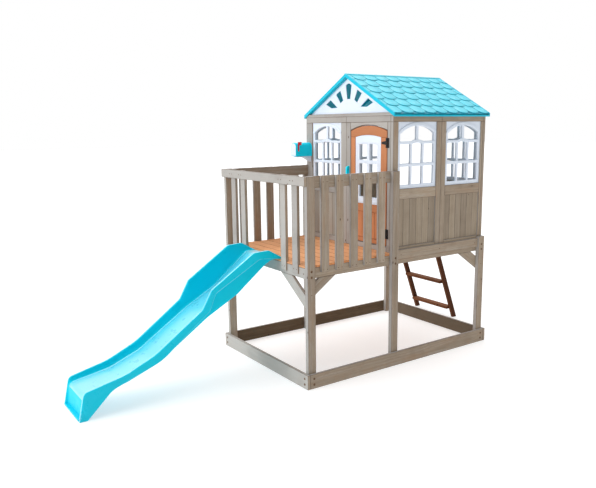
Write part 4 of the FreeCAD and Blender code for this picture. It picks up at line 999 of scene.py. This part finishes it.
def make_slide():
    """The slide as one lofted moulding that narrows to the small step at its toe."""
    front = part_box("rail_front")[1].y
    shape = bmesh.new()
    rows = []
    for station in slide_stations():
        section = [(x * taper(p.x), front - p.x, max(p.y, 0.0)) for x, p in slide_section(*station)]
        right = [shape.verts.new(point) for point in section]
        left = [shape.verts.new((-x, y, z)) for x, y, z in section[1:-1]]
        rows.append(right + list(reversed(left)))
    count, last = len(rows[0]), len(section) - 1
    for near, far in zip(rows, rows[1:]):
        for i in range(count):
            j = (i + 1) % count
            face = shape.faces.new([near[i], near[j], far[j], far[i]])
            face.material_index = slide_finish(min(i, count - 1 - i), near[0].co)
    for row in (rows[0], rows[-1]):
        close_end(shape, row, last)
    bmesh.ops.recalc_face_normals(shape, faces=shape.faces)
    board = rectangle(front - TOE_OUT, 0.0, front - TOE_BACK, TOE_HIGH)
    add_sheet(shape, [board], TOE_WIDE, 0.003, SIDEWARD, Vector((-TOE_WIDE / 2, 0, 0)))
    piece = place("slide_moulding", finished(shape, "slide"), CYAN, "slide")
    for material in (CHUTE, CYAN_INNER, CYAN_UNDER, CHUTE_TOE):
        piece.data.materials.append(material)


# ---------------------------------------------------------------- mailbox
BAND_COUNT, BAND_LONG, RAISED = 5, 0.016, 0.0018
FLANGE_TALL = 0.007
RIVET_COUNT, RIVET_STEP, RIVET_HIGH = 7, 0.0245, 0.0125


def make_mailbox():
    """The mailbox's shell with raised bands over its round top and a riveted foot flange."""
    low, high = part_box("mailbox_body")
    half, middle = (high.x - low.x) / 2, (high.x + low.x) / 2
    spring = high.z - half
    long = high.y - low.y
    skin = 0.003

    def round_top(grow, angles):
        return [((half + grow) * math.cos(a), spring + (half + grow) * math.sin(a)) for a in angles]

    def outline(grow, foot):
        top = round_top(grow, [math.pi * i / 24 for i in range(25)])
        return [(-half - grow, foot), (half + grow, foot)] + top

    shape = bmesh.new()
    back = Vector((middle, high.y, 0))
    add_sheet(shape, [outline(0, low.z), outline(-skin, low.z + skin)], long, 0.0010, FRONTWARD, back)
    add_sheet(shape, [outline(-0.001, low.z)], skin, 0.0010, FRONTWARD, back)
    angles = [math.radians(28 + 124 * j / 20) for j in range(21)]
    band = round_top(RAISED, angles) + round_top(-0.001, list(reversed(angles)))
    for i in range(BAND_COUNT):
        at = low.y + 0.012 + i * (long - 0.028) / (BAND_COUNT - 1)
        add_sheet(shape, [band], BAND_LONG, 0.0012, FRONTWARD, Vector((middle, at + 0.010, 0)))
    for sign in (-1, 1):
        flange = rectangle(sign * (half - 0.001), low.z, sign * (half + RAISED), low.z + FLANGE_TALL)
        add_sheet(shape, [flange], long - 0.004, 0.0008, FRONTWARD, back - Vector((0, 0.002, 0)))
        for i in range(RIVET_COUNT):
            seat = Vector((middle + sign * half, low.y + 0.018 + i * RIVET_STEP, low.z + RIVET_HIGH))
            add_stud(shape, seat, Vector((sign, 0, 0)), RIVET_RINGS, 10)
    place("mailbox_shell", finished(shape, "mailbox_shell"), MAILBOX, "mailbox_body")


# ---------------------------------------------------------------- hinges and the CAD nodes that stay
SCREW_SHARES = (-0.62, 0.0, 0.62)


def front_plate(faces):
    """Lowest and highest corners of a hinge solid's flat front, wider than its knuckle."""
    flat = [[Vector(p) for p in face] for face in faces]
    flat = [face for face in flat if max(p.y for p in face) - min(p.y for p in face) < 1e-5
            and max(p.x for p in face) - min(p.x for p in face) > 0.012]
    seat = min(face[0].y for face in flat)
    points = [p for face in flat for p in face if abs(p.y - seat) < 1e-5]
    low = Vector((min(p.x for p in points), seat, min(p.z for p in points)))
    high = Vector((max(p.x for p in points), seat, max(p.z for p in points)))
    return low, high


def make_hinge_screws():
    """Three screws through each hinge leaf and three through each strap."""
    for node, row in (("hinge_plates", (0, 0, 1)), ("hinge_straps", (-1, 0, 0))):
        shape = bmesh.new()
        for faces in solids(node):
            low, high = front_plate(faces)
            middle, reach = (low + high) / 2, (high - low) / 2
            for share in SCREW_SHARES:
                seat = middle + Vector([share * a * r for a, r in zip(row, reach)])
                add_stud(shape, seat, Vector((0, -1, 0)), SCREW_RINGS, 10)
        name = node + "_screws"
        place(name, finished(shape, name), BLACK, node, smooth=False, stands_in=False)


FINISHES = {"white_plastic": WHITE, "cyan_plastic": MAILBOX, "roof_plastic": ROOF_PAINTED_LIGHT, "red_plastic": RED,
            "black_metal": BLACK, "bolt_steel": STEEL}
EASED_NODES = ("mailbox_door", "mailbox_flag", "mailbox_bracket", "hand_grip", "hinge_plates",
               "hinge_straps")


def shade_cad_nodes():
    """Finishes for the CAD nodes, with small eased edges on the moulded and metal ones that show."""
    for node, piece in frame["nodes"].items():
        finish = FINISHES.get(SLOT_OF[node])
        if finish:
            for slot in piece.material_slots:
                slot.material = finish
        if node in EASED_NODES:
            weld = piece.modifiers.new("weld", "WELD")
            weld.merge_threshold = 0.00001
            eased = piece.modifiers.new("eased", "BEVEL")
            eased.width = 0.0009
            eased.segments = 2
            eased.angle_limit = math.radians(35)


make_camera()
make_studio()
make_timber()
make_windows()
make_door_light()
make_gables()
make_roof()
make_ridge_roll()
make_slide()
make_mailbox()
make_fasteners()
make_hinge_screws()
shade_cad_nodes()
